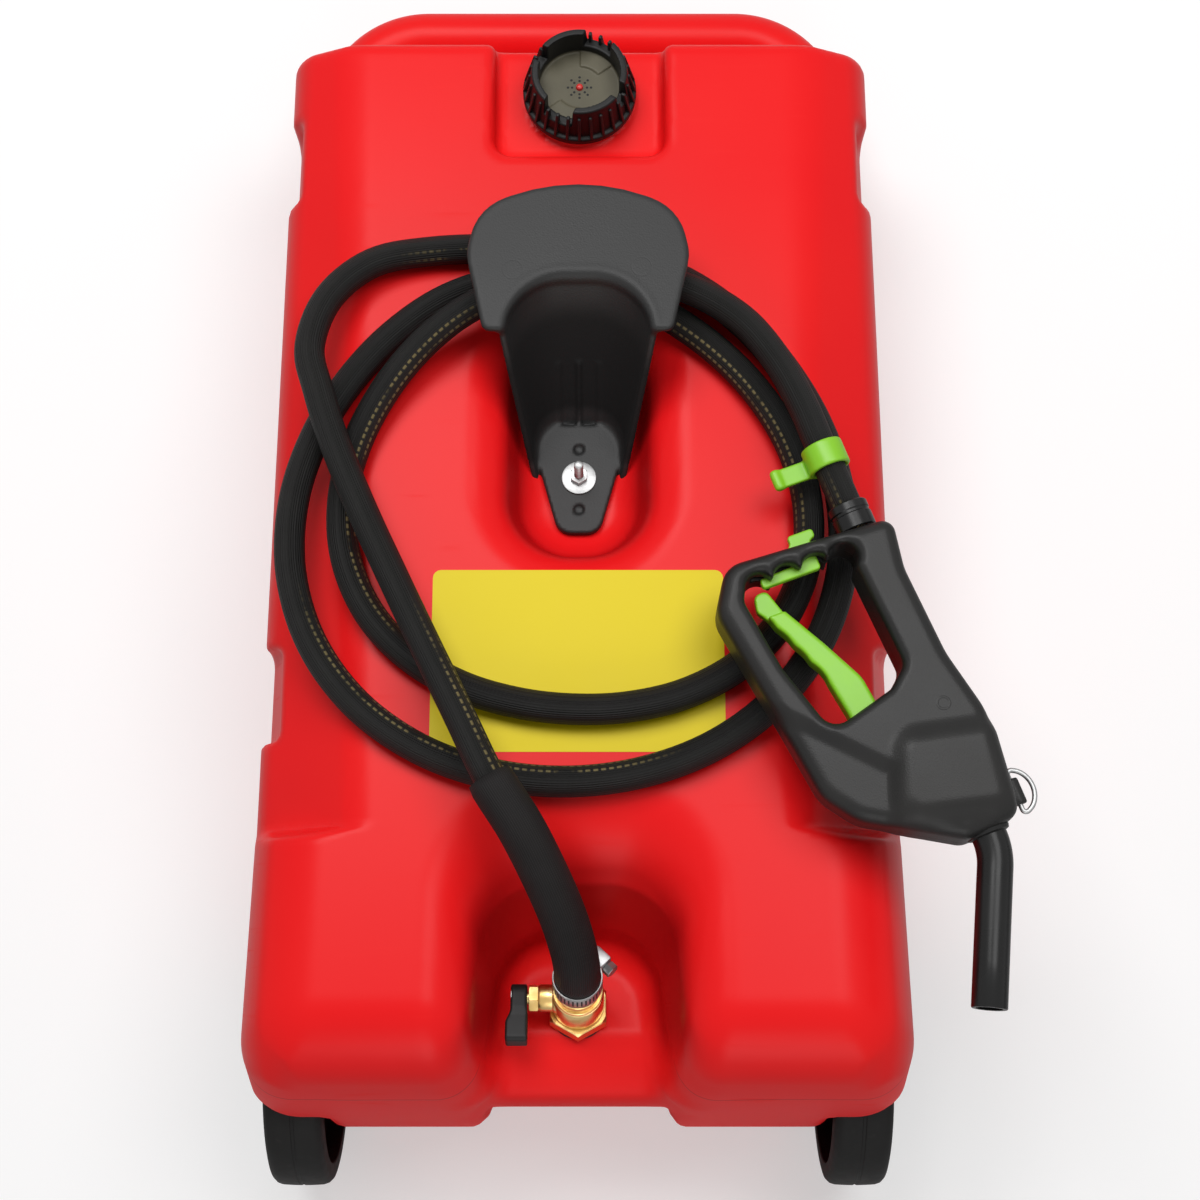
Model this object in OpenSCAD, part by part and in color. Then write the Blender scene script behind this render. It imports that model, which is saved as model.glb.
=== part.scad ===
// Rolling fuel caddy, lying on its back: hollow tank, wheels, cap, hose hanger, outlet valve, hose and nozzle.
// Millimetres. The origin is the middle of the tank's back face. +X is to the right of the front panel,
// +Y runs from the wheels to the handle, and +Z points out of the front panel.

/* [Tank] */
// Length of the tank from foot to head, without the handle
tank_length = 706; // [690:1:730]
// Width of the tank at its head
tank_head_width = 388; // [376:1:396]
// Width of the tank just above the hips
tank_waist_width = 400; // [390:1:408]
// Width across the hips
hip_width = 407; // [400:1:430]
// Narrowing of each hip from the foot to the waist
hip_taper = 4.5; // [0:0.5:8]
// Length of the hips from the foot
hip_length = 176; // [160:1:190]
// Depth of the tank at its head
tank_head_depth = 203; // [190:1:215]
// Depth of the tank at its foot
tank_foot_depth = 265; // [255:1:275]
// Thickness of the moulded wall
tank_wall = 4; // [3:0.1:6]
// Width of the flat front panel at the head
panel_head_width = 304; // [290:1:320]
// Width of the flat front panel at the hips
panel_waist_width = 264; // [250:1:280]
// Drop of the side bevels below the panel at the hips
bevel_drop = 50; // [40:1:60]
// Drop of the side bevels below the panel at the head
bevel_head_drop = 22; // [18:1:34]
// Length of the sloping end at the foot
foot_slant = 46; // [30:1:56]
// Height of the sloping end's lower edge above the back
foot_lip = 165; // [150:1:172]
// Radius of the edge between the panel and the sloping end
foot_round = 22; // [12:1:30]
// Radius of the long back edges
back_round = 26; // [16:1:32]
// Radius of the edge round the head
head_round = 14; // [10:1:18]
// Length of each notch in the sides
notch_length = 60; // [50:1:80]
// Distance from the head to the middle of the upper notches
notch_upper = 78; // [70:1:90]
// Distance from the foot to the middle of the lower notches
notch_lower = 266; // [250:1:280]

/* [Handle] */
// Diameter of the handle's bar
handle_d = 38; // [32:1:42]
// Reach of the handle beyond the head
handle_reach = 83; // [76:1:100]
// Width over the handle
handle_width = 380; // [350:1:386]
// Height of the handle's bar above the back
handle_level = 75; // [60:1:100]
// Bend radius at the middle of the bar's corners
handle_bend = 60; // [40:1:110]

/* [Wheels] */
// Diameter of the wheels
wheel_d = 160; // [150:1:168]
// Width of the wheels
wheel_width = 37; // [32:1:50]
// Distance from the foot to the axle
axle_inset = 42; // [36:1:50]
// Height of the wheels above the floor the back rests on
wheel_lift = 0.5; // [0.3:0.1:3]
// Diameter of the axle
axle_d = 12.7; // [10:0.1:16]
// Room round a wheel in its well
well_gap = 8; // [5:0.5:10]
// Inset of the wheels' outer faces from the hips
wheel_inset = 6.5; // [1:0.5:10]

/* [Filler] */
// Distance from the head to the middle of the cap
cap_inset = 36; // [34:1:56]
// Depth of the cap's bay below the panel
cap_bay_depth = 14; // [10:1:18]
// Width of the cap's bay
cap_bay_width = 112; // [100:1:120]
// Diameter of the cap's flange
cap_d = 75; // [72:1:80]
// Height of the cap above the collar
cap_height = 30; // [26:1:34]
// Diameter of the neck's bore
neck_bore = 52; // [48:1:54]
// Height of the collar round the neck
collar_height = 4; // [3:0.5:6]
// Ribs round the cap
cap_ribs = 28; // [20:1:36]

/* [Hanger] */
// Depth of the hanger's seat below the panel
hanger_depth = 45; // [38:1:50]
// Height of the hanger's face plate above the panel
plate_height = 50; // [46:1:56]
// Thickness of the hanger's walls
hanger_wall = 4; // [3:0.5:5]
// Width of the face plate
plate_width = 138; // [130:1:146]
// Distance from the middle of the panel to the top of the face plate
plate_top = 224; // [216:1:230]
// Diameter of the hanger's stud
stud_d = 6; // [5:0.5:8]
// Length of the stud above the washer
stud_length = 24; // [16:1:28]

/* [Valve] */
// Distance from the foot to the valve's seat
valve_inset = 72; // [66:1:78]
// Height of the valve's seat above the back
valve_level = 164; // [158:1:170]
// Lean of the valve towards the head
valve_lean = 20; // [16:1:24]
// Width across the flats of the valve's hex
valve_hex = 35; // [32:1:38]
// Diameter of the valve's body
valve_d = 32; // [30:1:34]
// Diameter of the ball
ball_d = 21; // [20:0.5:22]
// Diameter of the bore through the ball
ball_bore = 13; // [11:0.5:14]
// Diameter of the valve's threaded shank
shank_d = 26; // [24:1:28]
// Reach of the lever from the stem
lever_length = 29; // [26:1:50]

/* [Hose] */
// Outside diameter of the hose
hose_d = 19; // [17:0.1:19.4]
// Bore of the hose
hose_bore = 12.7; // [11:0.1:13]
// Outside diameter of the bend sleeve
sleeve_d = 28; // [25:0.5:30]
// Height of the lower turns' middle above the panel
hose_rest = 10; // [10:0.1:11]
// Height of the upper turns' middle above the panel
hose_over = 30; // [30:0.1:32]
// Mean radius of the outer turn
outer_turn = 167; // [166:1:172]
// Mean radius of the inner turn
inner_turn = 139; // [132:1:140]

/* [Nozzle] */
// Thickness of the nozzle's shell
nozzle_thickness = 38; // [34:1:42]
// Wall of the nozzle's shell
nozzle_wall = 3; // [2:0.1:3.5]
// Height of the nozzle's middle above the panel
nozzle_level = 40; // [40:1:44]
// Outside diameter of the spout
spout_d = 20.6; // [19:0.1:21]
// Bore of the spout
spout_bore = 15; // [12:0.1:16]
// Length of the spout's straight end
spout_length = 80; // [60:1:90]
// Bend of the spout, in degrees
spout_bend = 26; // [15:1:30]
// Diameter of the trigger's pin
trigger_pin_d = 6; // [5:0.1:7]
// Width of the trigger
trigger_width = 14; // [12:0.5:15]
// Diameter of the bail's wire
bail_wire = 3; // [2.5:0.1:3.2]

/* [Label] */
// Width of the label
label_width = 178; // [160:1:184]
// Length of the label
label_length = 114; // [100:1:120]

/* [Hidden] */
$fn = 48;

// Clearances: a running fit, a snug fit, and the gap between loose pieces
run_gap = 0.05;
snug = 0.02;
loose = 0.3;

// Shared frames: the panel's slope, its middle height, and the tank's ends
foot = -tank_length / 2;
head = tank_length / 2;
waist = foot + hip_length;
panel_tilt = atan((tank_foot_depth - tank_head_depth) / tank_length);
panel_mid = (tank_foot_depth + tank_head_depth) / 2;
panel_up = [0, sin(panel_tilt), cos(panel_tilt)];
cap_y = (head - cap_inset) / cos(panel_tilt);
valve_y = foot + valve_inset;
axle_y = foot + axle_inset;
axle_z = wheel_d / 2 + wheel_lift;
wheel_out = hip_width / 2 - wheel_inset;
wheel_in = wheel_out - wheel_width;

function panel_z(y) = panel_mid - y * tan(panel_tilt);
// A point given by its place on the panel and its height above it
function on_panel_at(p) = [
    p[0],
    p[1] * cos(panel_tilt) + p[2] * sin(panel_tilt),
    panel_mid - p[1] * sin(panel_tilt) + p[2] * cos(panel_tilt)];
// A point on the valve's axis, z above its seat
function on_valve_at(z) = [0, valve_y + z * sin(valve_lean), valve_level + z * cos(valve_lean)];

module on_panel() {
    translate([0, 0, panel_mid]) rotate([-panel_tilt, 0, 0]) children();
}
module at_valve() {
    translate([0, valve_y, valve_level]) rotate([-valve_lean, 0, 0]) children();
}
// The nozzle's own frame: x along the flow, y away from the trigger, z out of the panel
nozzle_at = [163, 8];
nozzle_turn = -69.4;
module at_nozzle() {
    on_panel() translate([nozzle_at[0], nozzle_at[1], nozzle_level]) rotate([0, 0, nozzle_turn]) children();
}
function on_nozzle_at(x) = on_panel_at(
    [nozzle_at[0] + x * cos(nozzle_turn), nozzle_at[1] + x * sin(nozzle_turn), nozzle_level]);

function unit(v) = v / norm(v);
function mix(a, b, t) = a + (b - a) * t;
function smooth(t) = let (s = min(1, max(0, t))) s * s * (3 - 2 * s);
// How far a rounded edge of radius r stands back, a distance s from its end
function round_in(s, r) = s >= r ? 0 : r - sqrt(r * r - (r - s) * (r - s));

// The points of one rounded corner: an arc that touches both sides of corner c
function corner(p, c, q, r, steps) =
    let (u = unit(p - c), v = unit(q - c), half = acos(u * v) / 2, d = r / tan(half), w = sin(half))
    [for (k = [0 : steps])
        let (t = k / steps, a = (1 - t) * (1 - t), b = 2 * t * (1 - t) * w, e = t * t)
        (a * (c + u * d) + b * c + e * (c + v * d)) / (a + b + e)];
function rounded(points, radii, steps) =
    let (n = len(points))
    [for (i = [0 : n - 1])
        each corner(points[(i + n - 1) % n], points[i], points[(i + 1) % n], radii[i], steps)];

// A closed solid through rings of equal count
module skin(rings) {
    n = len(rings[0]);
    last = len(rings) - 1;
    polyhedron(
        points = [for (ring = rings) each ring],
        faces = concat(
            [[for (j = [0 : n - 1]) j]],
            [for (i = [0 : last - 1], j = [0 : n - 1])
                let (a = i * n + j, b = i * n + (j + 1) % n)
                each [[a, a + n, b + n], [a, b + n, b]]],
            [[for (j = [n - 1 : -1 : 0]) last * n + j]]),
        convexity = 8);
}
// The same with a bore: outer and inner rings of equal count
module bored_skin(outer, inner) {
    n = len(outer[0]);
    last = len(outer) - 1;
    m = (last + 1) * n;
    polyhedron(
        points = concat([for (ring = outer) each ring], [for (ring = inner) each ring]),
        faces = concat(
            [for (i = [0 : last - 1], j = [0 : n - 1])
                let (a = i * n + j, b = i * n + (j + 1) % n)
                each [[a, a + n, b + n], [a, b + n, b], [m + a, m + b + n, m + a + n], [m + a, m + b, m + b + n]]],
            [for (j = [0 : n - 1])
                let (a = j, b = (j + 1) % n, c = last * n + a, d = last * n + b)
                each [[a, b, m + b], [a, m + b, m + a], [c, m + d, d], [c, m + c, m + d]]]),
        convexity = 8);
}
// Frames along a path: a point and two directions square to the path
function frames(path, up) =
    [for (i = [0 : len(path) - 1])
        let (t = unit(path[min(i + 1, len(path) - 1)] - path[max(i - 1, 0)]),
             v = unit(cross(t, up)), u = cross(v, t))
        [path[i], u, v]];
function ring_at(frame, r, sides) =
    [for (k = [0 : sides - 1])
        frame[0] + r * (cos(360 * k / sides) * frame[1] + sin(360 * k / sides) * frame[2])];
function rings_on(list, r, sides) = [for (f = list) ring_at(f, r, sides)];
function cut(list, first, last) = [for (i = [first : last]) list[i]];
// A ring drawn in a plane, set at height z
function level(points, z) = [for (p = points) [p[0], p[1], z]];
// A cylinder along x from x0 to x1
module rod(x0, x1, d) {
    translate([x0, 0, 0]) rotate([0, 90, 0]) cylinder(h = x1 - x0, d = d);
}

// Tank

tank_corner_steps = 3;
hip_edge = 28;
hip_corner = 22;
hip_bevel_round = 20;
bevel_round = 10;
waist_ramp = 10;
// One section of the tank: half widths of side and front, heights of front, bevel and back, and bevel radius
function tank_ring(y, side, front, top, drop, back, r) = [
    for (p = rounded(
        [[front, top], [side, top - drop], [side, back], [-side, back], [-side, top - drop], [-front, top]],
        [r, r, back_round, back_round, r, r], tank_corner_steps))
    [p[0], y, p[1]]];
function hip_ring(y, s, inset, top_in) =
    let (corner_in = round_in(s, hip_corner + 4 * inset),
         side = hip_width / 2 - hip_taper * (y - foot) / hip_length - inset - corner_in)
    tank_ring(y, side, side - hip_edge, panel_z(y) - inset - top_in, hip_edge,
        inset + round_in(s, back_round), hip_bevel_round);
function body_ring(y, inset, edge) =
    let (t = (y - waist) / (head - waist), e = inset + edge)
    tank_ring(y, mix(tank_waist_width, tank_head_width, t) / 2 - e,
        mix(panel_waist_width, panel_head_width, t) / 2 - 0.6 * e, panel_z(y) - e,
        mix(bevel_drop, bevel_head_drop, t), e, bevel_round);
// The foot's profile: distance from the foot and drop below the panel, down the slope and round its edge
foot_drop = tank_foot_depth - foot_lip;
function foot_profile(r) = concat(
    [for (s = [0, 3, 8, 15, 24]) [s, foot_drop * (1 - s / foot_slant)]],
    corner([0, foot_drop], [foot_slant, 0], [foot_slant + hip_length, 0], r, 3));
// The rings of the tank from foot to head, stood in by inset
function tank_rings(inset) = concat(
    [for (p = foot_profile(foot_round - inset)) hip_ring(foot + inset + p[0], p[0], inset, p[1])],
    [hip_ring(waist - waist_ramp / 2, hip_length, inset, 0)],
    [body_ring(waist + waist_ramp / 2, inset, 0)],
    [for (a = [0 : 30 : 90])
        let (r = head_round - inset / 2)
        body_ring(head - inset - r * (1 - sin(a)), inset, r * (1 - cos(a)))]);

// The valve's bay: a soft arch open at the foot, with its floor square to the valve
bay_half = 46;
bay_back = 42;
bay_mouth = 130;
bay_splay = 18;
bay_levels = [0, 30, 75, 120, 165];
bay_flare = [0, 2, 9, 21, 30];
bay_lean = [0, 2, 11, 30, 44];
apron_drop = 24;
foot_groove = 14;
module valve_bay(grow) {
    at_valve() skin([for (i = [0 : len(bay_levels) - 1])
        let (half = bay_half + bay_flare[i] + grow, back = bay_back + bay_lean[i] + grow)
        level(rounded([[half + bay_splay, -bay_mouth], [half, back], [-half, back], [-half - bay_splay, -bay_mouth]],
            [1, 34, 34, 1], 5), i == 0 ? -grow : bay_levels[i])]);
    apron_y = valve_y - valve_hex / 2 - 3;
    apron_z = valve_level + (valve_y - apron_y) * tan(valve_lean) - grow;
    skin([for (e = [[foot - 20, bay_half + 11, apron_z - apron_drop], [apron_y, bay_half + 2, apron_z]])
        let (half = e[1] + grow)
        [[half, e[0], e[2]], [half, e[0], apron_z + 60], [-half, e[0], apron_z + 60], [-half, e[0], e[2]]]]);
    groove_half = bay_half + 14 + grow;
    translate([-groove_half, foot - 20, -20])
        cube([2 * groove_half, foot_groove + 20 + grow, valve_level + 30]);
}
// The cap's bay: a soft step open at the head
cap_room = 12;
module cap_bay(grow) {
    low = cap_y - cap_d / 2 - cap_room - grow;
    high = head + 60;
    on_panel() skin([for (s = [[-cap_bay_depth - grow, 6], [-2, 1], [6, -4], [40, -8]])
        let (half = cap_bay_width / 2 - s[1] + grow, y0 = low + s[1])
        level(rounded([[half, y0], [half, high], [-half, high], [-half, y0]], [14, 1, 1, 14], 4), s[0])]);
}
// The hanger's bay: a teardrop well
module hanger_bay(grow) {
    on_panel() skin([for (s = [[-hanger_depth - grow, 33, 10, 122], [-hanger_depth + 10, 37, 4, 134],
            [-8, 48, -4, 158], [2, 54, -9, 165], [30, 58, -12, 170]])
        let (half = s[1] + grow, y0 = s[2] - grow, y1 = s[3] + grow)
        level(rounded([[half, y0], [half, y1], [-half, y1], [-half, y0]],
            [half * 0.9, half * 0.9, half * 0.9, half * 0.9], 5), s[0])]);
}
// Notches in the sides
notch_depth = 9;
notch_fall = 44;
module side_notches(grow) {
    for (side = [-1, 1], y = [head - notch_upper, foot + notch_lower]) {
        top = panel_z(y);
        inner = tank_head_width / 2 - notch_depth - grow;
        floor_z = top - bevel_drop - notch_fall;
        scale([side, 1, 1]) translate([0, y + notch_length / 2 + grow, 0]) rotate([90, 0, 0])
            linear_extrude(notch_length + 2 * grow)
                polygon([[inner, top], [inner, top - bevel_drop + 4], [tank_waist_width / 2 + 1 - grow, floor_z],
                    [tank_waist_width, floor_z], [tank_waist_width, top]]);
    }
}
module wheel_wells(grow) {
    radius = wheel_d / 2 + well_gap + grow;
    for (side = [-1, 1])
        scale([side, 1, 1]) translate([0, axle_y, axle_z])
            rod(wheel_in - well_gap / 2 - grow, hip_width, 2 * radius);
}
// The handle's loop, a bar that leaves the head and turns across it
handle_x = handle_width / 2 - handle_d / 2;
handle_y = head + handle_reach - handle_d / 2;
handle_root = 14;
handle_steps = 6;
// Half of the loop from the left root to the middle, then its mirror image
function handle_half(root) =
    let (middle = handle_y - handle_bend, first = asin(max(0, (head - root - middle) / handle_bend)))
    concat(
        first > 0 ? [] : [[-handle_x, head - root, handle_level]],
        [for (k = [0 : handle_steps])
            let (a = 180 - first - (90 - first) * k / handle_steps)
            [-handle_x + handle_bend + handle_bend * cos(a), middle + handle_bend * sin(a), handle_level]]);
function handle_path(root) =
    let (half = handle_half(root), n = len(half))
    concat(half, [for (i = [n - 1 : -1 : 0]) [-half[i][0], half[i][1], half[i][2]]]);
module handle_bar(d, root) {
    skin(rings_on(frames(handle_path(root), [0, 0, 1]), d / 2, 12));
}
// The space inside the tank, with the walls of the bays left standing
module tank_space() {
    difference() {
        skin(tank_rings(tank_wall));
        valve_bay(tank_wall);
        cap_bay(tank_wall);
        hanger_bay(tank_wall);
        side_notches(tank_wall);
        wheel_wells(tank_wall);
        translate([0, axle_y, axle_z]) rod(-hip_width, hip_width, axle_d + 2 * tank_wall);
        on_panel() translate([0, stud_y, -hanger_depth - stud_depth - tank_wall])
            cylinder(h = stud_depth + tank_wall, d = stud_d + 2 * tank_wall);
    }
}
module tank() {
    color("crimson") difference() {
        union() {
            difference() {
                union() {
                    skin(tank_rings(0));
                    handle_bar(handle_d, handle_root);
                }
                valve_bay(0);
                cap_bay(0);
                hanger_bay(0);
                side_notches(0);
                wheel_wells(0);
            }
            on_panel() translate([0, cap_y, -cap_bay_depth - tank_wall / 2])
                cylinder(h = collar_height + tank_wall / 2, d = neck_bore + 15);
        }
        tank_space();
        handle_bar(handle_d - 2 * tank_wall, handle_root + tank_wall);
        translate([0, axle_y, axle_z]) rod(-hip_width, hip_width, axle_d + 2 * snug);
        on_panel() translate([0, cap_y, -cap_bay_depth - tank_wall - 10])
            cylinder(h = tank_wall + collar_height + 11, d = neck_bore);
        on_panel() translate([0, stud_y, -hanger_depth - stud_depth])
            cylinder(h = stud_depth + 1, d = stud_d + 2 * snug);
        at_valve() translate([0, 0, -tank_wall - 10]) cylinder(h = tank_wall + 11, d = shank_d + 2 * snug);
    }
}

label_y = -72;
label_thick = 0.3;
module label() {
    half = [label_width / 2, label_length / 2];
    color("gold") on_panel() translate([0, label_y, 0]) linear_extrude(label_thick)
        polygon(rounded([[half[0], -half[1]], [half[0], half[1]], [-half[0], half[1]], [-half[0], -half[1]]],
            [5, 5, 5, 5], 4));
}

// Wheels

hub_d = 36;
web_thick = 10;
rim_thick = 14;
spokes = 6;
hub_reach = well_gap / 2 - loose;
module wheel(side) {
    r = wheel_d / 2;
    half = wheel_width / 2;
    bore = axle_d / 2 + run_gap;
    color("dimgray") translate([side * (wheel_in + half), axle_y, axle_z]) scale([side, 1, 1]) rotate([0, 90, 0]) {
        difference() {
            union() {
                rotate_extrude() polygon([
                    [bore, -half - hub_reach], [hub_d / 2, -half - hub_reach], [hub_d / 2, -web_thick / 2],
                    [r - rim_thick, -web_thick / 2], [r - rim_thick, -half], [r - 5, -half], [r, -half + 6],
                    [r, half - 6], [r - 5, half], [r - rim_thick, half], [r - rim_thick, web_thick / 2],
                    [hub_d / 2, web_thick / 2], [hub_d / 2, half], [bore, half]]);
                for (k = [0 : spokes - 1])
                    rotate(k * 360 / spokes) translate([hub_d / 2 - 2, -3, -half + 8])
                        cube([r - rim_thick - hub_d / 2 + 4, 6, wheel_width - 16]);
            }
        }
    }
}
module wheel_left() { wheel(-1); }
module wheel_right() { wheel(1); }

cap_nut_d = 26;
cap_nut_h = 5;
module axle() {
    color("silver") translate([0, axle_y, axle_z]) rod(-wheel_out - cap_nut_h / 2, wheel_out + cap_nut_h / 2, axle_d);
}
module axle_caps() {
    color("gray") for (side = [-1, 1])
        translate([0, axle_y, axle_z]) scale([side, 1, 1]) difference() {
            rod(wheel_out + loose, wheel_out + loose + cap_nut_h, cap_nut_d);
            rod(wheel_out, wheel_out + cap_nut_h / 2, axle_d + 2 * snug);
        }
}

// Filler cap, in its own frame: z along the cap's axis from the floor of its bay

gasket_thick = 2;
cap_low = collar_height + gasket_thick;
cap_flange = 6;
cap_disc = 3;
cap_face = cap_low + cap_flange + cap_disc;
cap_rim_d = cap_d - 13;
cap_cup_d = cap_rim_d - 8;
plug_depth = 14;
vent_d = 5;
vent_head_d = 10;
vent_lift = 1.5;
module at_cap() {
    on_panel() translate([0, cap_y, -cap_bay_depth]) children();
}
module cap() {
    top = cap_low + cap_height;
    plug_d = neck_bore - 2 * run_gap;
    color("#222222") at_cap() difference() {
        union() {
            translate([0, 0, cap_low]) cylinder(h = cap_flange, d = cap_d);
            translate([0, 0, cap_low + cap_flange]) cylinder(h = cap_height - cap_flange, d1 = cap_d - 5, d2 = cap_rim_d);
            translate([0, 0, -plug_depth]) cylinder(h = plug_depth + cap_low, d = plug_d);
            for (k = [0 : cap_ribs - 1])
                rotate(k * 360 / cap_ribs) translate([cap_rim_d / 2 - 2, -1, cap_low + cap_flange - 1])
                    cube([(cap_d - cap_rim_d) / 2 + 1, 2, cap_height - cap_flange - 6]);
        }
        translate([0, 0, cap_face]) cylinder(h = cap_height, d = cap_cup_d);
        translate([0, 0, -plug_depth - 1]) cylinder(h = plug_depth + cap_low + 1, d = plug_d - 10);
        translate([0, 0, -1]) cylinder(h = cap_face + 2, d = vent_d + 4 * run_gap);
        for (k = [0 : 7])
            rotate(k * 45) translate([11, 0, 0]) cylinder(h = cap_face + 1, d = 3);
        for (turn = [[60, 20], [150, 12], [240, 20], [330, 12]])
            rotate(turn[0]) translate([0, -turn[1] / 2, top - 14]) cube([cap_d, turn[1], 20]);
    }
}
module cap_gasket() {
    color("black") at_cap() translate([0, 0, collar_height]) difference() {
        cylinder(h = gasket_thick, d = neck_bore + 13);
        translate([0, 0, -1]) cylinder(h = gasket_thick + 2, d = neck_bore + 0.6);
    }
}
module cap_vent() {
    color("red") at_cap() {
        translate([0, 0, cap_face]) cylinder(h = 3, d1 = vent_head_d, d2 = vent_head_d - 3);
        translate([0, 0, cap_low + cap_flange - vent_lift - 3])
            cylinder(h = cap_face - cap_low - cap_flange + vent_lift + 3.5, d = vent_d);
    }
}

// Hose hanger, in the panel's frame

hanger_top = 160;
hanger_mouth = 122;
scoop_half = 49;
seat_half = 30;
seat_top = 100;
seat_mouth = 58;
tongue_thick = 6;
tongue_tip = 22;
plate_thick = 5;
stud_y = 59;
stud_depth = 14;
washer_d = 22;
washer_thick = 1.6;
nut_h = 5;
// One level of the scoop: an arch with a flat mouth
function arch(half, mouth, top) = concat(
    [[half, mouth]],
    [for (a = [0 : 20 : 180]) [half * cos(a), top - 0.75 * half + 0.75 * half * sin(a)]],
    [[-half, mouth]]);
module scoop(inset, reach) {
    skin([for (s = [[-hanger_depth - reach, 0], [plate_height + reach, 1]])
        level(arch(mix(seat_half, scoop_half, s[1]) - inset, mix(seat_mouth, hanger_mouth, s[1]) - 10 * reach,
            mix(seat_top, hanger_top, s[1]) - inset), s[0])]);
}
module hanger() {
    half = plate_width / 2;
    color("#262626") on_panel() difference() {
        union() {
            difference() {
                union() {
                    scoop(0, 0);
                    translate([0, 0, plate_height]) linear_extrude(plate_thick) polygon(rounded(
                        [[half - 11, hanger_mouth], [half, plate_top - 52], [half - 7, plate_top - 20], [0, plate_top + 4],
                            [7 - half, plate_top - 20], [-half, plate_top - 52], [11 - half, hanger_mouth]],
                        [6, 40, 34, 115, 34, 40, 6], 5));
                }
                scoop(hanger_wall, plate_thick + 1);
            }
            translate([0, 0, -hanger_depth]) linear_extrude(tongue_thick) polygon(rounded(
                [[seat_half - 2, seat_top - 24], [seat_half - 2, seat_top - 4], [2 - seat_half, seat_top - 4],
                    [2 - seat_half, seat_top - 24], [-13, tongue_tip], [13, tongue_tip]],
                [8, 6, 6, 8, 11, 11], 4));
        }
        translate([0, stud_y, -hanger_depth - 1]) cylinder(h = tongue_thick + 2, d = stud_d + 4 * run_gap);
    }
}
module hanger_stud() {
    color("silver") on_panel() translate([0, stud_y, -hanger_depth - stud_depth])
        cylinder(h = stud_depth + tongue_thick + washer_thick + stud_length, d = stud_d);
}
module hanger_washer() {
    color("silver") on_panel() translate([0, stud_y, tongue_thick - hanger_depth]) difference() {
        cylinder(h = washer_thick, d = washer_d);
        translate([0, 0, -1]) cylinder(h = washer_thick + 2, d = stud_d + 2 * snug);
    }
}
module hanger_nut() {
    color("silver") on_panel() translate([0, stud_y, tongue_thick + washer_thick - hanger_depth]) difference() {
        cylinder(h = nut_h, d = 2 * stud_d, $fn = 6);
        translate([0, 0, -1]) cylinder(h = nut_h + 2, d = stud_d + 2 * snug);
    }
}

// Outlet valve, in its own frame: z along the flow from the floor of its bay, stem along -x

seal_thick = 2;
hex_h = 10;
ball_z = 25;
chamber_r = ball_d / 2 + 0.7;
chamber_low = ball_z - 12;
body_top = ball_z + 12;
stem_d = 8;
boss_d = 17;
boss_out = 24;
packing_h = 6;
lever_in = boss_out + packing_h + 1;
lever_thick = 10;
grip_in = lever_in - 0.5;
grip_thick = 13.5;
lever_nut_h = 4;
stem_thread = 6;
stem_out = lever_in + lever_thick;
nut_seat = stem_out - lever_nut_h;
tail_flange = 6;
barb_low = body_top + tail_flange;
barb_length = 24;
module outlet_gasket() {
    color("black") at_valve() difference() {
        cylinder(h = seal_thick, d = valve_hex);
        translate([0, 0, -1]) cylinder(h = seal_thick + 2, d = shank_d + 4 * run_gap);
    }
}
module outlet_nut() {
    color("goldenrod") at_valve() translate([0, 0, -tank_wall - 8]) difference() {
        cylinder(h = 8, d = shank_d + 16, $fn = 6);
        translate([0, 0, -1]) cylinder(h = 10, d = shank_d + 2 * snug);
    }
}
module valve_body() {
    color("goldenrod") at_valve() difference() {
        union() {
            translate([0, 0, seal_thick]) cylinder(h = hex_h, d = valve_hex / cos(30), $fn = 6);
            cylinder(h = body_top, d = valve_d - 0.5);
            translate([0, 0, seal_thick + hex_h]) cylinder(h = body_top - seal_thick - hex_h, d = valve_d);
            translate([0, 0, -tank_wall - 12]) cylinder(h = tank_wall + 13, d = shank_d);
            translate([0, 0, ball_z]) rod(-boss_out, 0, boss_d);
        }
        translate([0, 0, -0.01]) difference() {
            cylinder(h = seal_thick + 0.01, d = valve_hex);
            translate([0, 0, -1]) cylinder(h = seal_thick + 2, d = shank_d);
        }
        translate([0, 0, -tank_wall - 13]) cylinder(h = ball_z, d = ball_bore);
        translate([0, 0, chamber_low]) cylinder(h = body_top, r = chamber_r);
        translate([0, 0, ball_z]) rod(-boss_out - 1, 0, stem_d + 2 * run_gap);
    }
}
module valve_seats() {
    color("white") at_valve() for (z = [chamber_low, body_top - 7])
        difference() {
            translate([0, 0, z]) cylinder(h = 6, r = chamber_r - run_gap);
            translate([0, 0, z - 1]) cylinder(h = 8, d = ball_bore);
            translate([0, 0, ball_z]) sphere(d = ball_d + 2 * run_gap);
        }
}
// The ball is turned about its bore, which lies across the flow while the valve is shut
module valve_ball() {
    lip = acos(ball_bore / ball_d);
    color("silver") at_valve() translate([0, 0, ball_z]) difference() {
        rotate([90, 0, 0]) rotate_extrude()
            polygon([for (k = [-6 : 6]) ball_d / 2 * [cos(lip * k / 6), sin(lip * k / 6)]]);
        translate([-ball_d / 2 - 1, -4, -2.5]) cube([4, 8, 5]);
    }
}
module valve_stem() {
    color("goldenrod") at_valve() translate([0, 0, ball_z]) {
        translate([-ball_d / 2 - 1, -3, -2.4]) cube([3.9, 6, 4.8]);
        rod(-nut_seat, -ball_d / 2 - run_gap, stem_d);
        rod(-stem_out, -nut_seat, stem_thread);
    }
}
module packing_nut() {
    color("khaki") at_valve() translate([-boss_out, 0, ball_z]) rotate([0, -90, 0]) difference() {
        cylinder(h = packing_h, d = 17, $fn = 6);
        translate([0, 0, -1]) cylinder(h = packing_h + 2, d = stem_d + 2 * run_gap);
    }
}
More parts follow.
